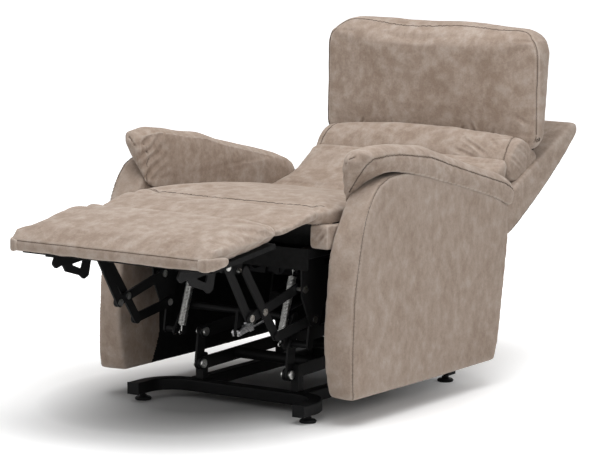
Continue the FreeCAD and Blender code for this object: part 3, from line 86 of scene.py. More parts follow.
def noise_node(tree, scale, detail=4.0, roughness=0.55, stretch=(1, 1, 1)):
    coords = tree.nodes.new("ShaderNodeTexCoord")
    mapping = tree.nodes.new("ShaderNodeMapping")
    mapping.inputs["Scale"].default_value = stretch
    texture = tree.nodes.new("ShaderNodeTexNoise")
    texture.inputs["Scale"].default_value = scale
    texture.inputs["Detail"].default_value = detail
    texture.inputs["Roughness"].default_value = roughness
    tree.links.new(coords.outputs["Object"], mapping.inputs[0])
    tree.links.new(mapping.outputs[0], texture.inputs["Vector"])
    return texture.outputs[0]


def ramp(tree, value, stops):
    node = tree.nodes.new("ShaderNodeValToRGB")
    node.color_ramp.elements[0].position = stops[0][0]
    node.color_ramp.elements[0].color = stops[0][1] + (1,)
    node.color_ramp.elements[1].position = stops[-1][0]
    node.color_ramp.elements[1].color = stops[-1][1] + (1,)
    for position, colour in stops[1:-1]:
        element = node.color_ramp.elements.new(position)
        element.color = colour + (1,)
    tree.links.new(value, node.inputs[0])
    return node.outputs[0]


def mix_colour(tree, mode, amount, first, second):
    node = tree.nodes.new("ShaderNodeMix")
    node.data_type = "RGBA"
    node.blend_type = mode
    if isinstance(amount, float):
        node.inputs[0].default_value = amount
    else:
        tree.links.new(amount, node.inputs[0])
    for socket, value in ((node.inputs[6], first), (node.inputs[7], second)):
        if isinstance(value, tuple):
            socket.default_value = value + (1,)
        else:
            tree.links.new(value, socket)
    return node.outputs[2]


def bumps(tree, shader, layers):
    """Stacks bump layers given as (height, strength, distance in metres)."""
    normal = None
    for height, strength, distance in layers:
        node = tree.nodes.new("ShaderNodeBump")
        node.inputs["Strength"].default_value = strength
        node.inputs["Distance"].default_value = distance
        tree.links.new(height, node.inputs["Height"])
        if normal is not None:
            tree.links.new(normal, node.inputs["Normal"])
        normal = node.outputs[0]
    tree.links.new(normal, shader.inputs["Normal"])


def suede_material(name, stretch=(1, 1, 1), spread=0.18):
    """Taupe suede-look cloth: cloudy mottling, finer flecks and brushed nap, with a painted
    highlight on convex edges and painted shade in concave creases.
    """
    material, tree, shader = new_material(name)
    cloud = noise_node(tree, 7.0, 3.0, 0.6, stretch)
    patches = noise_node(tree, 32.0, 5.0, 0.66, stretch)
    fleck = noise_node(tree, 240.0, 3.0, 0.7)
    base = ramp(tree, cloud, [(0.32, (0.275, 0.207, 0.161)), (0.5, (0.338, 0.265, 0.215)),
                              (0.68, (0.398, 0.327, 0.277))])
    spots = ramp(tree, patches, [(0.52 - spread, (0.250, 0.184, 0.140)),
                                 (0.52, (0.340, 0.268, 0.218)),
                                 (0.52 + spread, (0.432, 0.364, 0.314))])
    colour = mix_colour(tree, "MIX", 0.58, base, spots)
    grain = ramp(tree, fleck, [(0.3, (0.80, 0.79, 0.78)), (0.7, (1.0, 1.0, 1.0))])
    colour = mix_colour(tree, "MULTIPLY", 0.8, colour, grain)
    # Painted highlight: convex edges (high pointiness) are mixed towards a lighter taupe, standing
    # in for light catching the edges.
    geometry = tree.nodes.new("ShaderNodeNewGeometry")
    edge = ramp(tree, geometry.outputs["Pointiness"], [(0.50, (0, 0, 0)), (0.58, (1, 1, 1))])
    colour = mix_colour(tree, "MIX", edge, colour, (0.46, 0.395, 0.345))
    # Painted shade: concave creases (low pointiness) are multiplied darker, standing in for the
    # shade that falls in them.
    crease = ramp(tree, geometry.outputs["Pointiness"],
                  [(0.40, (0.55, 0.52, 0.50)), (0.485, (1, 1, 1))])
    colour = mix_colour(tree, "MULTIPLY", 0.9, colour, crease)
    tree.links.new(colour, shader.inputs["Base Color"])
    shader.inputs["Roughness"].default_value = 0.86
    shader.inputs["Specular IOR Level"].default_value = 0.22
    shader.inputs["Sheen Weight"].default_value = 0.22
    shader.inputs["Sheen Roughness"].default_value = 0.45
    shader.inputs["Sheen Tint"].default_value = (0.92, 0.86, 0.80, 1)
    nap = noise_node(tree, 620.0, 2.0, 0.6)
    bumps(tree, shader, [(patches, 0.22, 0.0012), (fleck, 0.28, 0.0005), (nap, 0.35, 0.0002)])
    return material


def cloth_material(name, colour, weave=900.0):
    """Plain cloth or thread of one colour, with a fine crossed weave."""
    material, tree, shader = new_material(name)
    coords = tree.nodes.new("ShaderNodeTexCoord")
    heights = []
    for direction in ("X", "Y", "Z"):
        wave = tree.nodes.new("ShaderNodeTexWave")
        wave.bands_direction = direction
        wave.inputs["Scale"].default_value = weave / 6.0
        wave.inputs["Distortion"].default_value = 0.6
        tree.links.new(coords.outputs["Object"], wave.inputs["Vector"])
        heights.append(wave.outputs[1])
    slub = noise_node(tree, 60.0, 3.0)
    tone = ramp(tree, slub, [(0.35, tuple(c * 0.7 for c in colour)),
                             (0.7, tuple(c * 1.5 for c in colour))])
    tree.links.new(tone, shader.inputs["Base Color"])
    shader.inputs["Roughness"].default_value = 0.9
    shader.inputs["Specular IOR Level"].default_value = 0.15
    bumps(tree, shader, [(height, 0.25, 0.0004) for height in heights] + [(slub, 0.3, 0.001)])
    return material


def metal_material(name, colour, metallic, roughness, grain=180.0, stretch=(1, 1, 1), edge_lightness=0.0):
    """Coated or plain metal with a slight orange-peel or drawn grain and lighter grey convex edges.
    """
    material, tree, shader = new_material(name)
    mottling = noise_node(tree, grain, 3.0, 0.6, stretch)
    tone = ramp(tree, mottling, [(0.3, tuple(c * 0.82 for c in colour)),
                                 (0.7, tuple(min(1, c * 1.18) for c in colour))])
    if edge_lightness:
        geometry = tree.nodes.new("ShaderNodeNewGeometry")
        edge = ramp(tree, geometry.outputs["Pointiness"],
                    [(0.53, (0, 0, 0)), (0.62, (edge_lightness, edge_lightness, edge_lightness))])
        tone = mix_colour(tree, "MIX", edge, tone, (0.22, 0.22, 0.22))
    tree.links.new(tone, shader.inputs["Base Color"])
    shader.inputs["Metallic"].default_value = metallic
    shader.inputs["Specular IOR Level"].default_value = 0.5 if metallic else 0.10
    rough = ramp(tree, mottling, [(0.3, (roughness * 0.85,) * 3),
                                  (0.7, (min(1, roughness * 1.2),) * 3)])
    tree.links.new(rough, shader.inputs["Roughness"])
    bumps(tree, shader, [(mottling, 0.12, 0.0004)])
    return material


SUEDE = suede_material("suede", spread=0.12)
SUEDE_UPRIGHT = suede_material("suede_upright", (1.05, 1.05, 0.8), 0.165)
FINISHES = {
    "suede": SUEDE,
    "black_steel": metal_material("black_powder_coat", (0.0035, 0.0035, 0.0038), 0.0, 0.46, 500.0,
                                  edge_lightness=0.03),
    "zinc": metal_material("zinc_plate", (0.62, 0.62, 0.60), 1.0, 0.30, 260.0),
    "steel": metal_material("drawn_steel", (0.55, 0.55, 0.56), 1.0, 0.28, 120.0, (1, 1, 6)),
    "black_plastic": metal_material("moulded_plastic", (0.008, 0.008, 0.0085), 0.0, 0.55, 900.0),
    "lining": cloth_material("board_lining", (0.007, 0.007, 0.007)),
    "black_cloth": cloth_material("dust_cloth", (0.005, 0.005, 0.005)),
}
THREAD = cloth_material("thread", (0.25, 0.195, 0.158), 2400.0)
# Painted shade: the dark seam lines stand in for the shade that falls in each seam groove.
SEAM_SHADE = cloth_material("seam_shadow", (0.048, 0.034, 0.026), 2400.0)
slot_of = {entry["node"]: entry["material_slot"] for entry in frame["record"]["subparts"]}
for node_name, node_object in nodes.items():
    node_object.data.materials.clear()
    node_object.data.materials.append(FINISHES[slot_of[node_name]])


# ---------------------------------------------------------------- mesh helpers

def link(name, mesh):
    piece = bpy.data.objects.new(name, mesh)
    scene.collection.objects.link(piece)
    return piece


def baked(piece):
    """Applies all of a piece's modifiers to its mesh."""
    graph = bpy.context.evaluated_depsgraph_get()
    mesh = bpy.data.meshes.new_from_object(piece.evaluated_get(graph))
    piece.modifiers.clear()
    piece.data = mesh


def from_sections(name, sections):
    """A closed solid through loops of points that all have the same count."""
    form = bmesh.new()
    rings = [[form.verts.new(point) for point in section] for section in sections]
    for ring, following in zip(rings, rings[1:]):
        for index in range(len(ring)):
            after = (index + 1) % len(ring)
            form.faces.new((ring[index], ring[after], following[after], following[index]))
    form.faces.new(list(reversed(rings[0])))
    form.faces.new(rings[-1])
    bmesh.ops.recalc_face_normals(form, faces=form.faces)
    mesh = bpy.data.meshes.new(name)
    form.to_mesh(mesh)
    form.free()
    return link(name, mesh)


def line_through(points, spacing=0.003):
    """Evenly spaced points along a smooth open line through points."""
    dense = []
    for index in range(len(points) - 1):
        a = points[max(0, index - 1)]
        b, c = points[index], points[index + 1]
        d = points[min(len(points) - 1, index + 2)]
        for step in range(24):
            t = step / 24
            dense.append(0.5 * ((2 * b) + (c - a) * t + (2 * a - 5 * b + 4 * c - d) * t * t
                                + (3 * b - a - 3 * c + d) * t ** 3))
    dense.append(points[-1])
    result, left = [dense[0]], 0.0
    for first, second in zip(dense, dense[1:]):
        left += (second - first).length
        if left >= spacing:
            result.append(second)
            left = 0.0
    return result


def bolster(name, places, profile):
    """A long cushion: profile(x) gives its (y, z) loop at each x in places; mm of the chair."""
    return from_sections(name, [[at(x, y, z) for y, z in profile(x)] for x in places])


def about(loop, share):
    """A loop of (y, z) shrunk towards its middle."""
    middle_y = sum(y for y, _ in loop) / len(loop)
    middle_z = sum(z for _, z in loop) / len(loop)
    return [(middle_y + (y - middle_y) * share, middle_z + (z - middle_z) * share) for y, z in loop]


def rounded_ends(half, roll):
    """Places across a cushion of this half width, and how full its section is there."""
    ends = [(half - roll * (1 - math.sin(math.pi / 2 * k / 6)), k) for k in range(7)]
    outer = [(x, 1 - 0.16 * (1 - math.cos(math.pi / 2 * k / 6))) for x, k in ends]
    inner = [(x, 1.0) for x in range(0, int(half - roll), 24)]
    right = inner + outer
    return [(-x, share) for x, share in reversed(right) if x > 0] + right


def copy_of(node, name):
    """A soft piece that starts as the shape of a CAD node."""
    return link(name, nodes[node].data.copy())


def remeshed(piece, voxel, smooth):
    """An even mesh whose corners are softened."""
    remesh = piece.modifiers.new("remesh", "REMESH")
    remesh.mode = "VOXEL"
    remesh.voxel_size = voxel
    soften = piece.modifiers.new("soften", "SMOOTH")
    soften.iterations = smooth
    soften.factor = 0.5
    baked(piece)


def shaped(piece, move):
    """Moves each vertex along its normal by move(x, y, z, normal) in chair millimetres."""
    mesh = piece.data
    normals = [vertex.normal.copy() for vertex in mesh.vertices]
    for vertex, normal in zip(mesh.vertices, normals):
        x, y, z = chair(vertex.co)
        amount = move(x, y, z, normal)
        if isinstance(amount, Vector):
            vertex.co += amount / 1000.0
        else:
            vertex.co += normal * (amount / 1000.0)
    mesh.update()


CLOTH_FRAMES = 20


def puffed(piece, held, pressure, cap, shrink):
    """Lets pressure swell the cover: held(x, y, z, normal) is 1 where it is fixed, 0 where free."""
    shaped(piece, lambda x, y, z, n: -shrink * 1000 * (1 - held(x, y, z, n)))
    mesh = piece.data
    start = [vertex.co.copy() for vertex in mesh.vertices]
    group = piece.vertex_groups.new(name="held")
    for vertex in mesh.vertices:
        x, y, z = chair(vertex.co)
        weight = held(x, y, z, vertex.normal)
        if weight > 0:
            group.add([vertex.index], min(1.0, weight), "REPLACE")
    cloth = piece.modifiers.new("cloth", "CLOTH")
    settings = cloth.settings
    settings.use_pressure = True
    settings.uniform_pressure_force = pressure
    settings.effector_weights.gravity = 0.0
    settings.vertex_group_mass = "held"
    settings.quality = 4
    settings.mass = 0.3
    settings.tension_stiffness = 12
    settings.compression_stiffness = 12
    settings.shear_stiffness = 5
    settings.bending_stiffness = 1.0
    cloth.collision_settings.use_collision = False
    cloth.point_cache.frame_start = 1
    cloth.point_cache.frame_end = CLOTH_FRAMES
    for number in range(1, CLOTH_FRAMES + 1):
        scene.frame_set(number)
    graph = bpy.context.evaluated_depsgraph_get()
    swollen = bpy.data.meshes.new_from_object(piece.evaluated_get(graph))
    piece.modifiers.clear()
    for vertex, first, last in zip(mesh.vertices, start, swollen.vertices):
        travel = last.co - first
        if travel.length > cap:
            travel *= cap / travel.length
        vertex.co = first + travel
    bpy.data.meshes.remove(swollen)
    scene.frame_set(1)


def refined(piece):
    subdivide = piece.modifiers.new("refine", "SUBSURF")
    subdivide.levels = 1
    subdivide.render_levels = 1
    baked(piece)


def shaded(piece, material):
    piece.data.materials.clear()
    piece.data.materials.append(material)
    for polygon in piece.data.polygons:
        polygon.use_smooth = True


def tube_mesh(form, points, radius, sides=6):
    """Adds a thin round tube along points to a bmesh."""
    rings = []
    for index, point in enumerate(points):
        before = points[max(0, index - 1)]
        after = points[min(len(points) - 1, index + 1)]
        along = (after - before).normalized()
        side = along.orthogonal().normalized()
        if rings:
            side = (last_side - along * last_side.dot(along)).normalized()
        last_side = side
        up = along.cross(side)
        rings.append([form.verts.new(point + (side * math.cos(a) + up * math.sin(a)) * radius)
                      for a in (2 * math.pi * k / sides for k in range(sides))])
    for ring, following in zip(rings, rings[1:]):
        for k in range(sides):
            after = (k + 1) % sides
            form.faces.new((ring[k], ring[after], following[after], following[k]))
    form.faces.new(list(reversed(rings[0])))
    form.faces.new(rings[-1])


def mesh_piece(name, form, material):
    bmesh.ops.recalc_face_normals(form, faces=form.faces)
    mesh = bpy.data.meshes.new(name)
    form.to_mesh(mesh)
    form.free()
    piece = link(name, mesh)
    shaded(piece, material)
    return piece


# One stitch: how far along the seam and how high over the cover each of its points lies, in metres.
STITCH = ((-0.0024, -0.0001), (-0.0012, 0.00045), (0.0012, 0.00045), (0.0024, -0.0001))


class Tailor:
    """Sews seams into one soft piece, and keeps their lines and stitches to add at the end."""

    def __init__(self, piece, body):
        self.piece, self.body = piece, body
        self.lines, self.rows = [], []

    def surface(self):
        mesh = self.piece.data
        return BVHTree.FromPolygons([vertex.co for vertex in mesh.vertices],
                                    [polygon.vertices for polygon in mesh.polygons])

    def seam(self, points, depth=1.6, width=7.0, rows=(-3.4,)):
        """A seam along chair points: the cover pulls in to it, and stitches run beside it."""
        line = line_through([at(*p) for p in points])
        tree = self.surface()
        nearest = KDTree(len(line))
        for index, point in enumerate(line):
            nearest.insert(tree.find_nearest(point)[0], index)
        nearest.balance()
        reach = width / 1000.0 * 2.2
        for vertex in self.piece.data.vertices:
            _, _, distance = nearest.find(vertex.co)
            if distance < reach:
                fall = math.exp(-(distance * 1000.0 / (width * 0.42)) ** 2)
                vertex.co -= vertex.normal * (depth * fall / 1000.0)
        self.piece.data.update()
        self.lines.append(line)
        for offset in rows:
            self.rows.append((line, offset))

    def finish(self):
        """Lays the seam lines and the stitches on the finished surface; the seam lines are thin
        dark tubes of painted shade in the seam grooves.
        """
        tree = self.surface()
        threads, dark = bmesh.new(), bmesh.new()
        for line in self.lines:
            path = []
            for point in line:
                hit, normal, _, _ = tree.find_nearest(point)
                path.append(hit + normal * 0.0002)
            tube_mesh(dark, path, 0.0006, 5)
        for line, offset in self.rows:
            for index in range(0, len(line) - 2, 2):
                first, _, _, _ = tree.find_nearest(line[index])
                last, normal, _, _ = tree.find_nearest(line[index + 1])
                along = last - first
                if along.length < 0.0005:
                    continue
                along.normalize()
                side = normal.cross(along).normalized()
                middle = (first + last) / 2 + side * (offset / 1000.0)
                stitch = []
                for reach, lift in STITCH:
                    spot, up, _, _ = tree.find_nearest(middle + along * reach)
                    stitch.append(spot + up * lift)
                tube_mesh(threads, stitch, 0.00034, 4)
        for form, suffix, material in ((threads, "_stitching", THREAD),
                                       (dark, "_painted_seam_shade", SEAM_SHADE)):
            if form.verts:
                piece = mesh_piece(self.piece.name + suffix, form, material)
                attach(piece, self.body)
            else:
                form.free()


def soft_piece(piece, body, replaced, material=SUEDE):
    shaded(piece, material)
    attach(piece, body)
    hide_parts(replaced)


def ripple(x, y, z, size, seed=0.0):
    return noise.noise(Vector((x / size + seed, y / size - seed, z / size)))


def pleat(point, start, end, width, depth):
    """Depth of a soft crease from start to end at a chair point, fading out at both ends."""
    p, a, b = Vector(point), Vector(start), Vector(end)
    run = b - a
    t = (p - a).dot(run) / run.length_squared
    t = min(1.0, max(0.0, t))
    distance = (p - (a + run * t)).length
    if distance > width * 3:
        return 0.0
    valley = math.exp(-(distance / width) ** 2)
    ridge = 0.5 * math.exp(-((distance - width * 1.6) / (width * 0.8)) ** 2)
    return depth * (ridge - valley) * math.sin(math.pi * (0.12 + 0.88 * (1 - abs(2 * t - 1))) / 2)


# ---------------------------------------------------------------- arm panels

ARM_OUTER = [(-10, 66), (-12, 110), (-12, 160), (-10.5, 212), (-6, 270), (-1, 323), (22, 432),
             (42, 496), (66, 538), (86, 563), (110, 582), (159, 597), (216, 598)]
ARM_INNER = [(1, 66), (-8, 85), (-21, 137), (-28, 206), (-26, 240), (-23, 273), (-6, 406),
             (10, 449), (33, 482), (53, 515), (73, 544), (113, 576), (170, 596)]
ARM_REAR = [(282, 586), (375, 562), (468, 538), (552, 514), (636, 488), (705, 461), (706, 366),
            (686, 249), (665, 156), (643, 66), (420, 65), (210, 65)]
LINING_EDGE = 138.0  # where the black lining of the inner face begins
ARM_INSIDE, ARM_OUTSIDE = 306.3, 385.0


def arm_sections():
    sections = []
    for share in (0.0, 0.02, 0.08, 0.25, 0.5, 0.75, 0.92, 0.98, 1.0):
        x = ARM_INSIDE + (ARM_OUTSIDE - ARM_INSIDE) * share
        inset = 3.0 if share in (0.0, 1.0) else (1.0 if share in (0.02, 0.98) else 0.0)
        ring = []
        for (oy, oz), (iy, iz) in zip(ARM_OUTER, ARM_INNER):
            ring.append((iy + (oy - iy) * share, iz + (oz - iz) * share))
        ring += ARM_REAR
        centre_y, centre_z = 330.0, 330.0
        points = []
        for y, z in ring:
            reach = math.hypot(y - centre_y, z - centre_z)
            keep = (reach - inset) / reach
            points.append(at(x, centre_y + (y - centre_y) * keep, centre_z + (z - centre_z) * keep))
        sections.append(points)
    return sections


def arm_panel(name, side):
    piece = from_sections(name, arm_sections())
    if side < 0:
        for vertex in piece.data.vertices:
            vertex.co.x = -vertex.co.x
        piece.data.flip_normals()
    remeshed(piece, 0.0065, 5)
    refined(piece)

    def crown(x, y, z, n):
        amount = 0.0
        if n.x * side > 0.5:
            inside = min(y + 12, 700 - y, z - 60, 640 - z)
            amount += 3.2 * smooth_step(4, 70, inside)
            amount += 0.8 * ripple(x, y, z * 0.35, 46.0, 3.1 * side)
        elif n.y < -0.3 and z < 600:
            across = 1 - abs((abs(x) - 345) / 40) ** 2
            amount += 3.0 * max(0, across) * smooth_step(60, 120, z)
            amount += 0.7 * ripple(x, y * 0.3, z * 0.5, 30.0, 7.7 * side)
        elif n.x * side < -0.5:
            amount += 0.5 * ripple(x, y, z, 60.0, 1.3)
        return amount

    shaped(piece, crown)
    shaped(piece, lambda x, y, z, n: 0.35 * ripple(x, y, z, 14.0, 5.0))
    body = "carriage"
    tailor = Tailor(piece, body)
    outline = [(383 * side, y + 3, z) for y, z in ARM_OUTER]
    tailor.seam(outline + [(383 * side, 262, 592)], 1.6, 5.0, rows=(-3.2, 3.2))
    rear = [(384 * side, y, z) for y, z in ARM_REAR[5:10]]
    tailor.seam(rear, 1.2, 5.0, rows=())
    tailor.finish()
    soft_piece(piece, body, "arm_panel_left" if side > 0 else "arm_panel_right", SUEDE_UPRIGHT)
    piece.data.materials.append(FINISHES["black_cloth"])
    for polygon in piece.data.polygons:
        x, y, z = chair(polygon.center)
        edge = LINING_EDGE - 30.0 * smooth_step(150, 60, z)
        if polygon.normal.x * side < -0.6 and y > edge and z < 470:
            polygon.material_index = 1


# ---------------------------------------------------------------- arm pads

PAD_STATIONS = [  # lower edge (y, z), crest (y, z), how far out it reaches
    ((104, 532), (86, 523), 308), ((100, 556), (66, 560), 316), ((112, 580), (54, 604), 342),
    ((126, 596), (50, 640), 364), ((144, 604), (68, 664), 380), ((180, 606), (132, 670), 388),
    ((226, 602), (205, 667), 391), ((271, 593), (262, 659), 392), ((340, 575), (338, 650), 392),
    ((407, 557), (424, 622), 392), ((501, 532), (520, 593), 392), ((600, 504), (618, 563), 392),
    ((660, 484), (684, 546), 391), ((696, 469), (722, 532), 390), ((712, 464), (742, 520), 388),
    ((726, 468), (751, 500), 383), ((734, 476), (748, 488), 376)]
PAD_INSIDE = 297.0
PAD_NOSE_SEAM = [(340, 62, 648), (328, 68, 636), (319, 90, 606), (309, 86, 570), (301, 84, 526)]


def pad_section(foot, crest, reach):
    """One loop round the pad: up the outer side, over the roll, down the inner drape and back."""
    y, z = foot[0], foot[1] - 8.0 * smooth_step(130, 230, foot[0])
    height = math.hypot(crest[0] - y, crest[1] - z)
    ny, nz = (crest[0] - y) / height, (crest[1] - z) / height
    inner, wide = PAD_INSIDE, reach - PAD_INSIDE
    outline = [(1.0, 0.0), (1.015, 0.16), (1.01, 0.38), (0.965, 0.62), (0.87, 0.83), (0.72, 0.95),
               (0.55, 1.0), (0.36, 0.99), (0.18, 0.93), (0.07, 0.79), (0.012, 0.56), (0.0, 0.25)]
    points = []
    for share, rise in outline:
        points.append((inner + wide * share, y + ny * height * rise, z + nz * height * rise))
    floor = 524.0 - 26.0 * smooth_step(90, 150, y) - 0.09 * max(0.0, y - 150)
    base = points[-1]
    for k in (1, 2, 3, 4):
        t = k / 4
        points.append((inner, base[1] + (min(y, 725) - base[1]) * t,
                       base[2] + (min(floor, z - 4) - base[2]) * t))
    low = min(floor, z - 4)
    points.append((305.0, min(y, 725), low))
    points.append((305.4, min(y, 725), (low + z) / 2))
    points.append((305.6, y, z - 0.5))
    points.append((inner + wide * 0.5, y, z + 0.4))
    points.append((inner + wide * 0.86, y, z + 0.2))
    return points


def arm_pad(name, side):
    stations = []
    for foot, (y, z), reach in PAD_STATIONS:
        flatter = 14.0 * smooth_step(150, 240, y) * smooth_step(620, 430, y) if side < 0 else 0.0
        stations.append((Vector(foot), Vector((y, z - flatter)), reach))
    sections = []
    for first, second in zip(stations, stations[1:]):
        for step in range(4):
            t = step / 4
            sections.append(pad_section(first[0].lerp(second[0], t), first[1].lerp(second[1], t),
                                        first[2] + (second[2] - first[2]) * t))
    sections.append(pad_section(*stations[-1]))
    piece = from_sections(name, [[at(x * side, y, z) for x, y, z in s] for s in sections])
    remeshed(piece, 0.0055, 5)

    def held(x, y, z, n):
        inward = n.x * side
        if z < 540 and abs(x) < 312:
            return 1.0
        if n.z < -0.6 or (abs(x) > 303 and inward < -0.8):
            return 1.0
        return 0.0

    puffed(piece, held, 3.0, 0.006, 0.002)
    refined(piece)

    def wrinkle(x, y, z, n):
        amount = 0.9 * ripple(x, y * 0.45, z, 34.0, 9.0 * side) + 0.3 * ripple(x, y, z, 11.0, 2.0)
        if n.x * side < -0.2 and y < 190:
            gather = smooth_step(190, 100, y) * smooth_step(505, 560, z) * smooth_step(668, 640, z)
            amount += 1.3 * gather * math.sin((z - 0.5 * y) / 4.6 + 2.0 * ripple(x, y, z, 45.0))
        return amount

    shaped(piece, wrinkle)
    body = "carriage"
    tailor = Tailor(piece, body)
    seam_line = []
    for foot, crest, reach in stations[1:-1]:
        spot = foot.lerp(crest, 0.62)
        seam_line.append(((PAD_INSIDE + (reach - PAD_INSIDE) * 0.97) * side, spot.x, spot.y))
    tailor.seam(seam_line, 1.5, 5.0, rows=(-3.0, 3.0))
    front = [(x * side, y, z) for x, y, z in PAD_NOSE_SEAM]
    tailor.seam(front, 1.8, 5.0, rows=(3.0,))
    tailor.finish()
    soft_piece(piece, body, "arm_pad_left" if side > 0 else "arm_pad_right", SUEDE)


# ---------------------------------------------------------------- seat, calf pad and footrest

SEAT = [(-18, 500), (-15, 515), (-4, 524), (15, 528), (37, 527), (60, 528), (120, 525), (200, 519),
        (300, 510), (400, 498), (480, 487), (535, 474), (562, 458), (566, 440), (556, 424),
        (480, 412), (300, 408), (110, 406), (60, 440), (0, 484)]
CALF = [(-175, 478), (-174, 486), (-162, 493), (-132, 501), (-90, 512), (-50, 522), (-20, 526),
        (-8, 518), (-8, 504), (-30, 492), (-90, 484), (-150, 476)]
FOOTREST = [(-472, 434), (-478, 442), (-479, 454), (-476, 465), (-462, 474), (-436, 484),
            (-400, 492), (-350, 499), (-300, 508), (-255, 514), (-222, 516), (-196, 510),
            (-182, 498), (-178, 480), (-190, 467), (-260, 457), (-350, 447), (-440, 437)]


def seat():
    ends = dict(rounded_ends(291, 18))

    def profile(x):
        tuck = smooth_step(262, 291, abs(x))
        return [(y, z + 14 * tuck * smooth_step(110, 60, y) * smooth_step(512, 500, z))
                for y, z in about(SEAT, ends[x])]

    piece = bolster("seat_cushion_cover", sorted(ends), profile)
    remeshed(piece, 0.0065, 5)
    puffed(piece, lambda x, y, z, n: 1.0 if z < 486 or y > 540 or abs(x) > 289 or y < -10 else 0.0,
           2.5, 0.010, 0.0)
    refined(piece)

    def lie(x, y, z, n):
        amount = 0.0
        if n.z > 0.3:
            amount += 1.0 * ripple(x, y, z, 60.0, 4.0) + 0.35 * ripple(x, y, z, 16.0, 1.0)
        return amount

    shaped(piece, lie)
    tailor = Tailor(piece, "carriage")
    tailor.seam([(x, 37, 530) for x in range(-270, 271, 30)], 2.2, 8.0, rows=(-3.6,))
    tailor.finish()
    soft_piece(piece, "carriage", "seat_cushion", SUEDE)
    piece.data.materials.append(FINISHES["black_cloth"])
    for polygon in piece.data.polygons:
        _, y, z = chair(polygon.center)
        if (z < 486 and y < 120) or (z < 440 and polygon.normal.z < 0.3):
            polygon.material_index = 1


def calf():
    ends = dict(rounded_ends(288, 20))

    def profile(x):
        tuck = smooth_step(258, 288, abs(x))
        return [(y, z + 9 * tuck * smooth_step(500, 490, z)) for y, z in about(CALF, ends[x])]

    piece = bolster("calf_pad_cover", sorted(ends), profile)
    remeshed(piece, 0.006, 4)
    puffed(piece, lambda x, y, z, n: 1.0 if (n.z < -0.5 or y > -44 or abs(x) > 280) else 0.0,
           3.0, 0.008, 0.0)
    refined(piece)
    shaped(piece, lambda x, y, z, n: 1.3 * ripple(x, y, z, 52.0, 2.0) + 0.4 * ripple(x, y, z, 15.0)
           + (pleat((x, y, z), (270, -168, 505), (150, -140, 512), 8, 3.0)
              + pleat((x, y, z), (-240, -165, 505), (-120, -150, 510), 8, 2.5) if n.z > 0 else 0.0))
    soft_piece(piece, "calf", "calf_pad", SUEDE)


def footrest():
    ends = dict(rounded_ends(297, 24))

    def profile(x):
        tuck = smooth_step(262, 292, abs(x))
        crown = 5.0 * (1 - (x / 297) ** 2)
        loop = []
        for y, z in about(FOOTREST, ends[x]):
            under = smooth_step(-462, -435, y) * smooth_step(490, 470, z)
            loop.append((y, z + 22 * tuck * under + crown * smooth_step(480, 500, z)))
        return loop

    piece = bolster("footrest_pad_cover", sorted(ends), profile)
    remeshed(piece, 0.006, 5)
    puffed(piece, lambda x, y, z, n: 1.0 if (n.z < -0.7) else (0.6 if y < -470 else 0.0),
           3.5, 0.010, 0.001)
    refined(piece)

    def crumple(x, y, z, n):
        amount = 1.4 * ripple(x, y, z, 56.0, 6.0) + 0.5 * ripple(x, y, z, 16.0, 2.0)
        if y < -440:
            amount += 1.3 * ripple(x, y, z * 0.3, 36.0, 8.0)
        if n.y > 0.3 or y > -215:
            amount += 1.8 * ripple(x, y * 0.4, z * 0.4, 90.0, 4.0)
        return amount

    shaped(piece, crumple)
    tailor = Tailor(piece, "footrest")
    tailor.seam([(x, -482, 465) for x in range(-284, 285, 24)], 0.9, 5.5, rows=())
    tailor.finish()
    soft_piece(piece, "footrest", "footrest_pad", SUEDE)


CORNER_FOLD = [  # x, y, lower and upper edge, thickness
    (264, -476, 442, 460, 4), (268, -480, 437, 464, 8), (278, -480, 434, 466, 10),
    (290, -474, 434, 467, 11), (299, -460, 436, 467, 11), (304, -440, 439, 466, 11),
    (305, -420, 442, 465, 10), (304, -408, 446, 462, 8), (302, -404, 450, 458, 4)]


def footrest_tab():
    """The folded end of the cover, tucked round each front corner of the board."""
    for side in (1, -1):
        label = "left" if side > 0 else "right"
        loops = []
        for x, y, low, high, depth in CORNER_FOLD:
            middle, tall = (low + high) / 2, (high - low) / 2
            turn = smooth_step(-478, -440, y) * math.pi / 2
            ring = []
            for k in range(14):
                a = 2 * math.pi * k / 14
                out = depth / 2 * math.copysign(abs(math.cos(a)) ** 0.7, math.cos(a))
                up = tall * math.copysign(abs(math.sin(a)) ** 0.6, math.sin(a))
                ring.append(at((x - depth / 2 * math.sin(turn) + out * math.sin(turn)) * side,
                               y + depth / 2 * math.cos(turn) - out * math.cos(turn), middle + up))
            loops.append(ring)
        piece = from_sections("footrest_corner_fold_" + label, loops)
        remeshed(piece, 0.0025, 3)
        shaped(piece, lambda x, y, z, n: 0.8 * ripple(x, y, z, 14.0, 3.0)
               + pleat((x, y, z), (274 * side, -486, 462), (270 * side, -484, 440), 3.0, 2.5)
               + pleat((x, y, z), (281 * side, -486, 458), (284 * side, -482, 436), 3.0, 1.5))
        shaded(piece, SUEDE)
        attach(piece, "footrest")


def seat_fillers():
    piece = copy_of("seat_side_fillers", "seat_side_filler_covers")
    remeshed(piece, 0.005, 5)
    refined(piece)
    shaped(piece, lambda x, y, z, n: 1.2 * ripple(x, y, z, 26.0, 3.0)
           + (pleat((x, y, z), (300, -5, 470), (272, -5, 440), 5, 3.0) if y < 5 else 0.0))
    soft_piece(piece, "carriage", "seat_side_fillers", SUEDE)


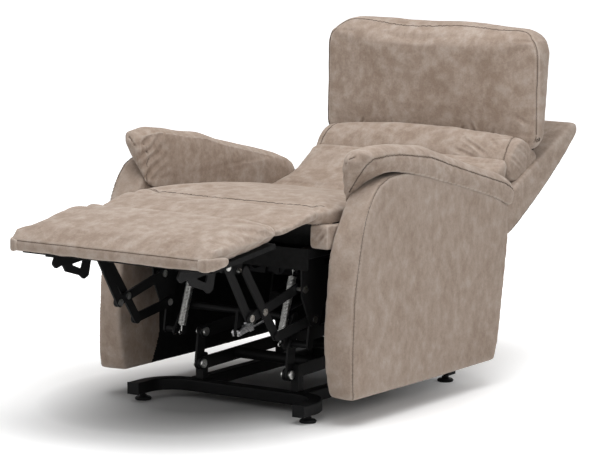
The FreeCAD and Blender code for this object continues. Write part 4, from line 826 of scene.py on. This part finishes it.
def rear_shade_sheet():
    """The black cloth stretched between the arms behind the mechanism, a dark sheet of painted
    shade standing in for the deep shade inside the chair.
    """
    width, height, bottom, depth = 611.0, 256.0, 72, 652
    form = bmesh.new()
    columns, rows = 30, 12
    grid = []
    for i in range(columns + 1):
        x = -width / 2 + width * i / columns
        column = []
        for k in range(rows + 1):
            belly = 3.0 * math.sin(math.pi * i / columns) * math.sin(math.pi * k / rows)
            column.append(form.verts.new(at(x, depth + belly + 0.5 * ripple(x, k * 20, 0, 60.0),
                                            bottom + height * k / rows)))
        grid.append(column)
    for first, second in zip(grid, grid[1:]):
        for k in range(rows):
            form.faces.new((first[k], second[k], second[k + 1], first[k + 1]))
    piece = mesh_piece("rear_painted_shade_sheet", form, FINISHES["black_cloth"])
    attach(piece, "carriage")


# ---------------------------------------------------------------- back and headrest

def shell():
    piece = copy_of("back_shell", "back_shell_cover")
    remeshed(piece, 0.007, 5)
    refined(piece)

    def tight(x, y, z, n):
        amount = 0.6 * ripple(x, y, z, 70.0, 2.0)
        if n.z < -0.2:
            amount += (3.0 * smooth_step(0, 90, 320 - abs(x)) * smooth_step(690, 800, y)
                       * smooth_step(1160, 1060, y))
        return amount

    shaped(piece, tight)
    tailor = Tailor(piece, "back")
    for side in (1, -1):
        tailor.seam([(319 * side, 830, 372), (319 * side, 955, 441), (319 * side, 1041, 497),
                     (318 * side, 1110, 548), (300 * side, 1150, 583)], 1.4, 5.0, rows=())
    tailor.finish()
    soft_piece(piece, "back", "back_shell", SUEDE)


LUMBAR = [(598, 432), (604, 462), (640, 474), (675, 482), (710, 490), (745, 504), (775, 521),
          (800, 537), (824, 552), (840, 556), (846, 542), (838, 512), (800, 476), (755, 450),
          (700, 425), (640, 402), (610, 402)]
SHOULDER = [(829, 528), (834, 552), (846, 570), (864, 586), (884, 598), (904, 603), (920, 600),
            (934, 590), (954, 574), (974, 562), (985, 543), (976, 527), (950, 509), (920, 496),
            (880, 486), (846, 496)]


def lumbar():
    ends = dict(rounded_ends(304, 34))

    def profile(x):
        swell = 9.0 * (1 - (x / 304) ** 2)
        return [(y, z + swell * smooth_step(480, 510, z) * smooth_step(850, 790, y))
                for y, z in about(LUMBAR, ends[x])]

    piece = bolster("lumbar_cushion_cover", sorted(ends), profile)
    remeshed(piece, 0.0065, 5)
    puffed(piece, lambda x, y, z, n: 1.0 if (n.z < -0.2 or y < 640 or y > 815) else 0.0,
           3.0, 0.008, 0.001)
    refined(piece)
    shaped(piece, lambda x, y, z, n: 1.6 * ripple(x, y, z, 70.0, 5.0) + 0.5 * ripple(x, y, z, 20.0)
           + (pleat((x, y, z), (-290, 720, 484), (-150, 712, 486), 9, 4.0)
              + pleat((x, y, z), (40, 735, 494), (230, 722, 490), 9, 3.0) if n.z > 0 else 0.0))
    soft_piece(piece, "back", "lumbar_cushion", SUEDE)


def shoulder():
    ends = dict(rounded_ends(308, 30))

    def profile(x):
        rise = 20.0 * (1 - abs(x / 308) ** 2.4)
        return [(y, z + rise * smooth_step(560, 600, z) * smooth_step(946, 925, y))
                for y, z in about(SHOULDER, ends[x])]

    piece = bolster("shoulder_cushion_cover", sorted(ends), profile)
    remeshed(piece, 0.006, 5)
    puffed(piece, lambda x, y, z, n: 1.0 if (n.z < -0.4 or y > 930) else 0.0, 4.0, 0.009, 0.002)
    refined(piece)
    creases = [((205, 850, 575), (120, 905, 612), 6, 4.5),
               ((232, 842, 562), (150, 866, 594), 5, 4.0),
               ((262, 860, 580), (190, 900, 606), 6, 4.0),
               ((212, 838, 548), (130, 846, 570), 6, 3.5),
               ((256, 900, 600), (214, 916, 608), 5, 3.0),
               ((40, 880, 606), (110, 896, 614), 7, 2.5),
               ((-60, 905, 610), (-130, 890, 606), 7, 2.5),
               ((-205, 846, 570), (-140, 900, 606), 7, 3.0),
               ((304, 850, 560), (300, 905, 520), 5, 4.0),
               ((304, 880, 585), (300, 940, 545), 5, 3.5)]

    def crumple(x, y, z, n):
        amount = 1.8 * ripple(x, y, z, 60.0, 1.0) + 0.6 * ripple(x, y, z, 21.0, 3.0)
        for start, end, width, depth in creases:
            amount += pleat((x, y, z), start, end, width, depth)
        return amount

    shaped(piece, crumple)
    tailor = Tailor(piece, "back")
    for side in (1, -1):
        tailor.seam([(270 * side, 922, 604), (276 * side, 900, 604), (282 * side, 872, 592),
                     (286 * side, 850, 572), (288 * side, 834, 548), (288 * side, 830, 520)],
                    1.8, 5.5, rows=(-3.0, 3.0))
    tailor.finish()
    soft_piece(piece, "back", "shoulder_cushion", SUEDE)


HEADREST_MIDDLE = 737.0


def headrest_edge(share=1.0):
    """Its front outline as (x, z), with large upper and smaller lower corners."""
    half, low, high, steps = 331.0, 570.0, 884.0, 14
    points = []
    corners = ((half, high, 72, 0), (-half, high, 72, 1), (-half, low, 40, 2), (half, low, 40, 3))
    for corner_x, corner_z, radius, turn in corners:
        middle_x = corner_x - math.copysign(radius, corner_x)
        middle_z = corner_z - (radius if turn < 2 else -radius)
        for k in range(steps + 1):
            a = math.pi / 2 * (turn + k / steps)
            points.append((middle_x + radius * math.cos(a), middle_z + radius * math.sin(a)))
        straight = 16 if turn in (0, 2) else 8
        heading = ((-1, 0), (0, -1), (1, 0), (0, 1))[turn]
        reach = 2 * half - 144 if turn == 0 else (2 * half - 80 if turn == 2 else high - low - 112)
        for k in range(1, straight):
            points.append((points[-1][0] + heading[0] * reach / straight,
                           points[-1][1] + heading[1] * reach / straight))
    return [(x * share, HEADREST_MIDDLE + (z - HEADREST_MIDDLE) * share
             + 3.0 * math.sin(x / 52.0) * smooth_step(830, 880, z)) for x, z in points]


def headrest():
    def front(z, share):
        return (936 + 0.012 * (z - 600) - 15 * (1 - share ** 5)
                + 30 * smooth_step(850, 890, z) * share ** 6)

    def rear(z, share):
        board = 972 + 0.33 * (z - 566)
        return board - (board - 966 - 0.14 * (z - 600)) * smooth_step(0.86, 1.0, share)

    shares = (0.05, 0.3, 0.55, 0.75, 0.86, 0.92, 0.96, 0.985, 1.0)
    sections = []
    for share in shares:
        sections.append([at(x, rear(z, share), z) for x, z in headrest_edge(share)])
    for k in (0.25, 0.5, 0.75):
        bulge = 1.0 + 0.010 * math.sin(math.pi * k)
        sections.append([at(x * bulge, rear(z, 1) + (front(z, 1) - rear(z, 1)) * k,
                            HEADREST_MIDDLE + (z - HEADREST_MIDDLE) * bulge)
                         for x, z in headrest_edge()])
    for share in reversed(shares):
        sections.append([at(x, front(z, share), z) for x, z in headrest_edge(share)])
    piece = from_sections("headrest_cover", sections)
    remeshed(piece, 0.006, 4)
    puffed(piece, lambda x, y, z, n: 1.0 if (n.y > 0.5 or abs(x) > 318 or z < 604) else 0.0,
           3.5, 0.006, 0.002)
    refined(piece)
    creases = [((150, 925, 592), (132, 922, 634), 6, 3.5),
               ((100, 925, 592), (112, 922, 624), 5, 2.6),
               ((-110, 925, 592), (-120, 922, 624), 6, 3.0),
               ((-218, 926, 594), (-206, 922, 618), 5, 4.0),
               ((196, 926, 594), (206, 922, 620), 5, 2.4), ((30, 925, 592), (24, 922, 614), 5, 2.0),
               ((-60, 925, 594), (-40, 922, 616), 5, 2.4),
               ((300, 930, 640), (270, 924, 655), 6, 2.0)]

    def crumple(x, y, z, n):
        amount = 2.0 * ripple(x, y, z, 85.0, 3.0) + 0.5 * ripple(x, y, z, 22.0, 5.0)
        for start, end, width, depth in creases:
            amount += pleat((x, y, z), start, end, width, depth)
        return amount

    shaped(piece, crumple)
    tailor = Tailor(piece, "headrest")
    line = [(x * 0.99, front(z, 1) - 2, HEADREST_MIDDLE + (z - HEADREST_MIDDLE) * 0.985)
            for x, z in headrest_edge()]
    first = min(range(len(line)), key=lambda k: (line[k][2] > 625 or line[k][0] < 0, -line[k][2]))
    tailor.seam([point for point in line[first:] + line[:first] if point[2] > 590],
                1.8, 5.5, rows=(3.2,))
    tailor.finish()
    soft_piece(piece, "headrest", "headrest_cushion", SUEDE)


# ---------------------------------------------------------------- springs

def springs():
    """Wound extension springs with a hook at each end."""
    low, high = Vector(at(0, 17.5, 178)), Vector(at(0, 80, 356))
    along = (high - low).normalized()
    side_axis = Vector((1, 0, 0))
    up_axis = along.cross(side_axis).normalized()
    coil, wire, hook, eye, offset = 0.0092, 0.0014, 0.016, 0.0046, 0.150
    length = (high - low).length
    turns, steps = 44, 12
    form = bmesh.new()
    for side in (1, -1):
        centre = Vector((offset * side, 0, 0))
        points = []
        for k in range(11):
            a = math.pi * (1.5 * k / 10 - 1.0)
            points.append(low + centre + along * (eye * -math.cos(a))
                          + up_axis * (eye * math.sin(a)))
        start, end = hook, length - hook
        count = turns * steps
        for k in range(count + 1):
            t = k / count
            a = 2 * math.pi * turns * t
            grow = min(1.0, t * turns, (1 - t) * turns)
            points.append(low + centre + along * (start + (end - start) * t)
                          + (side_axis * math.cos(a) + up_axis * math.sin(a)) * coil * grow)
        for k in range(11):
            a = math.pi * (1.5 * (1 - k / 10) - 1.0)
            points.append(high + centre - along * (eye * -math.cos(a))
                          - up_axis * (eye * math.sin(a)))
        tube_mesh(form, points, wire, 6)
    piece = mesh_piece("return_spring_coils", form, FINISHES["zinc"])
    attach(piece, "carriage")
    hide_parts("return_springs")
    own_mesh(piece)


# ---------------------------------------------------------------- studio

def seen_directly(tree):
    """1 for what the camera sees, also in a reflection or through glass, else 0."""
    path = tree.nodes.new("ShaderNodeLightPath")
    total = path.outputs["Is Camera Ray"]
    for kind in ("Is Glossy Ray", "Is Transmission Ray"):
        node = tree.nodes.new("ShaderNodeMath")
        node.operation = "MAXIMUM"
        tree.links.new(total, node.inputs[0])
        tree.links.new(path.outputs[kind], node.inputs[1])
        total = node.outputs[0]
    return total


def studio():
    floor_form = bmesh.new()
    bmesh.ops.create_grid(floor_form, x_segments=8, y_segments=8, size=40.0)
    material, tree, shader = new_material("studio_floor")
    tone = ramp(tree, noise_node(tree, 1.5, 2.0), [(0.3, (0.93,) * 3), (0.7, (0.95,) * 3)])
    shader.inputs["Roughness"].default_value = 0.85
    shader.inputs["Specular IOR Level"].default_value = 0.1
    # Painted light and shadow on the floor: a spherical falloff centred under the chair sets how
    # much light the floor emits and how dark its colour is.
    coords = tree.nodes.new("ShaderNodeTexCoord")
    painted_light_and_shadow_falloff = tree.nodes.new("ShaderNodeTexGradient")
    painted_light_and_shadow_falloff.gradient_type = "SPHERICAL"
    place = tree.nodes.new("ShaderNodeMapping")
    place.inputs["Scale"].default_value = (0.80, 0.66, 1.0)
    place.inputs["Location"].default_value = (0.10, 0.14, 0.0)
    tree.links.new(coords.outputs["Object"], place.inputs[0])
    tree.links.new(place.outputs[0], painted_light_and_shadow_falloff.inputs[0])
    # Painted light: away from the chair the floor emits light to the camera and in reflections,
    # which brightens its shadow there; under the chair it emits none.
    lift = ramp(tree, painted_light_and_shadow_falloff.outputs[1],
                [(0.0, (0.7,) * 3), (0.25, (0.55,) * 3), (0.42, (0.32,) * 3),
                 (0.6, (0.06,) * 3), (0.7, (0.0,) * 3)])
    # Painted shadow: the floor's colour darkens to 0.35 of itself under the chair, a painted
    # contact shadow.
    painted_contact_shadow = ramp(tree, painted_light_and_shadow_falloff.outputs[1], [(0.66, (1.0, 1.0, 1.0)), (0.86, (0.35, 0.35, 0.35))])
    tree.links.new(mix_colour(tree, "MULTIPLY", 1.0, tone, painted_contact_shadow), shader.inputs["Base Color"])
    shader.inputs["Emission Color"].default_value = (1, 1, 1, 1)
    strength = tree.nodes.new("ShaderNodeMath")
    strength.operation = "MULTIPLY"
    tree.links.new(lift, strength.inputs[0])
    tree.links.new(seen_directly(tree), strength.inputs[1])
    tree.links.new(strength.outputs[0], shader.inputs["Emission Strength"])
    floor = mesh_piece("studio_floor", floor_form, material)
    world = bpy.data.worlds.new("studio")
    scene.world = world
    world.use_nodes = True
    sky = world.node_tree
    background = sky.nodes["Background"]
    background.inputs[0].default_value = (1.0, 1.0, 1.0, 1)
    level = sky.nodes.new("ShaderNodeMapRange")
    level.inputs["To Min"].default_value = 0.46
    level.inputs["To Max"].default_value = 1.0
    sky.links.new(seen_directly(sky), level.inputs[0])
    sky.links.new(level.outputs[0], background.inputs[1])
    lamps = [("overhead", (0.3, -0.5, 3.2), (0.0, -0.1, 0.4), 3.0, 98.0),
             ("front_left", (-2.6, -4.2, 2.6), (0.0, 0.0, 0.4), 2.6, 12.0),
             ("right_side", (5.2, -2.4, 2.4), (0.2, 0.0, 0.4), 2.4, 52.0)]
    for name, place, aim, width, power in lamps:
        data = bpy.data.lights.new(name, "AREA")
        data.shape = "SQUARE"
        data.size = width
        data.energy = power
        lamp = bpy.data.objects.new(name, data)
        lamp.location = place
        lamp.rotation_euler = (Vector(aim) - Vector(place)).to_track_quat("-Z", "Y").to_euler()
        scene.collection.objects.link(lamp)
    camera_data = bpy.data.cameras.new("camera")
    camera_data.lens = 210.0
    camera_data.sensor_width = 36.0
    camera = bpy.data.objects.new("camera", camera_data)
    place, aim = at(4946, -6872, 1747), at(223.1, 0, 455.8)
    camera.location = place
    camera.rotation_euler = (aim - place).to_track_quat("-Z", "Y").to_euler()
    scene.collection.objects.link(camera)
    scene.camera = camera
    scene.view_settings.view_transform = "Standard"
    scene.view_settings.look = "None"


for hand, label in ((1, "left"), (-1, "right")):
    arm_panel("arm_panel_cover_" + label, hand)
    arm_pad("arm_pad_cover_" + label, hand)
seat()
calf()
footrest()
footrest_tab()
seat_fillers()
shell()
lumbar()
shoulder()
headrest()
springs()
rear_shade_sheet()
studio()
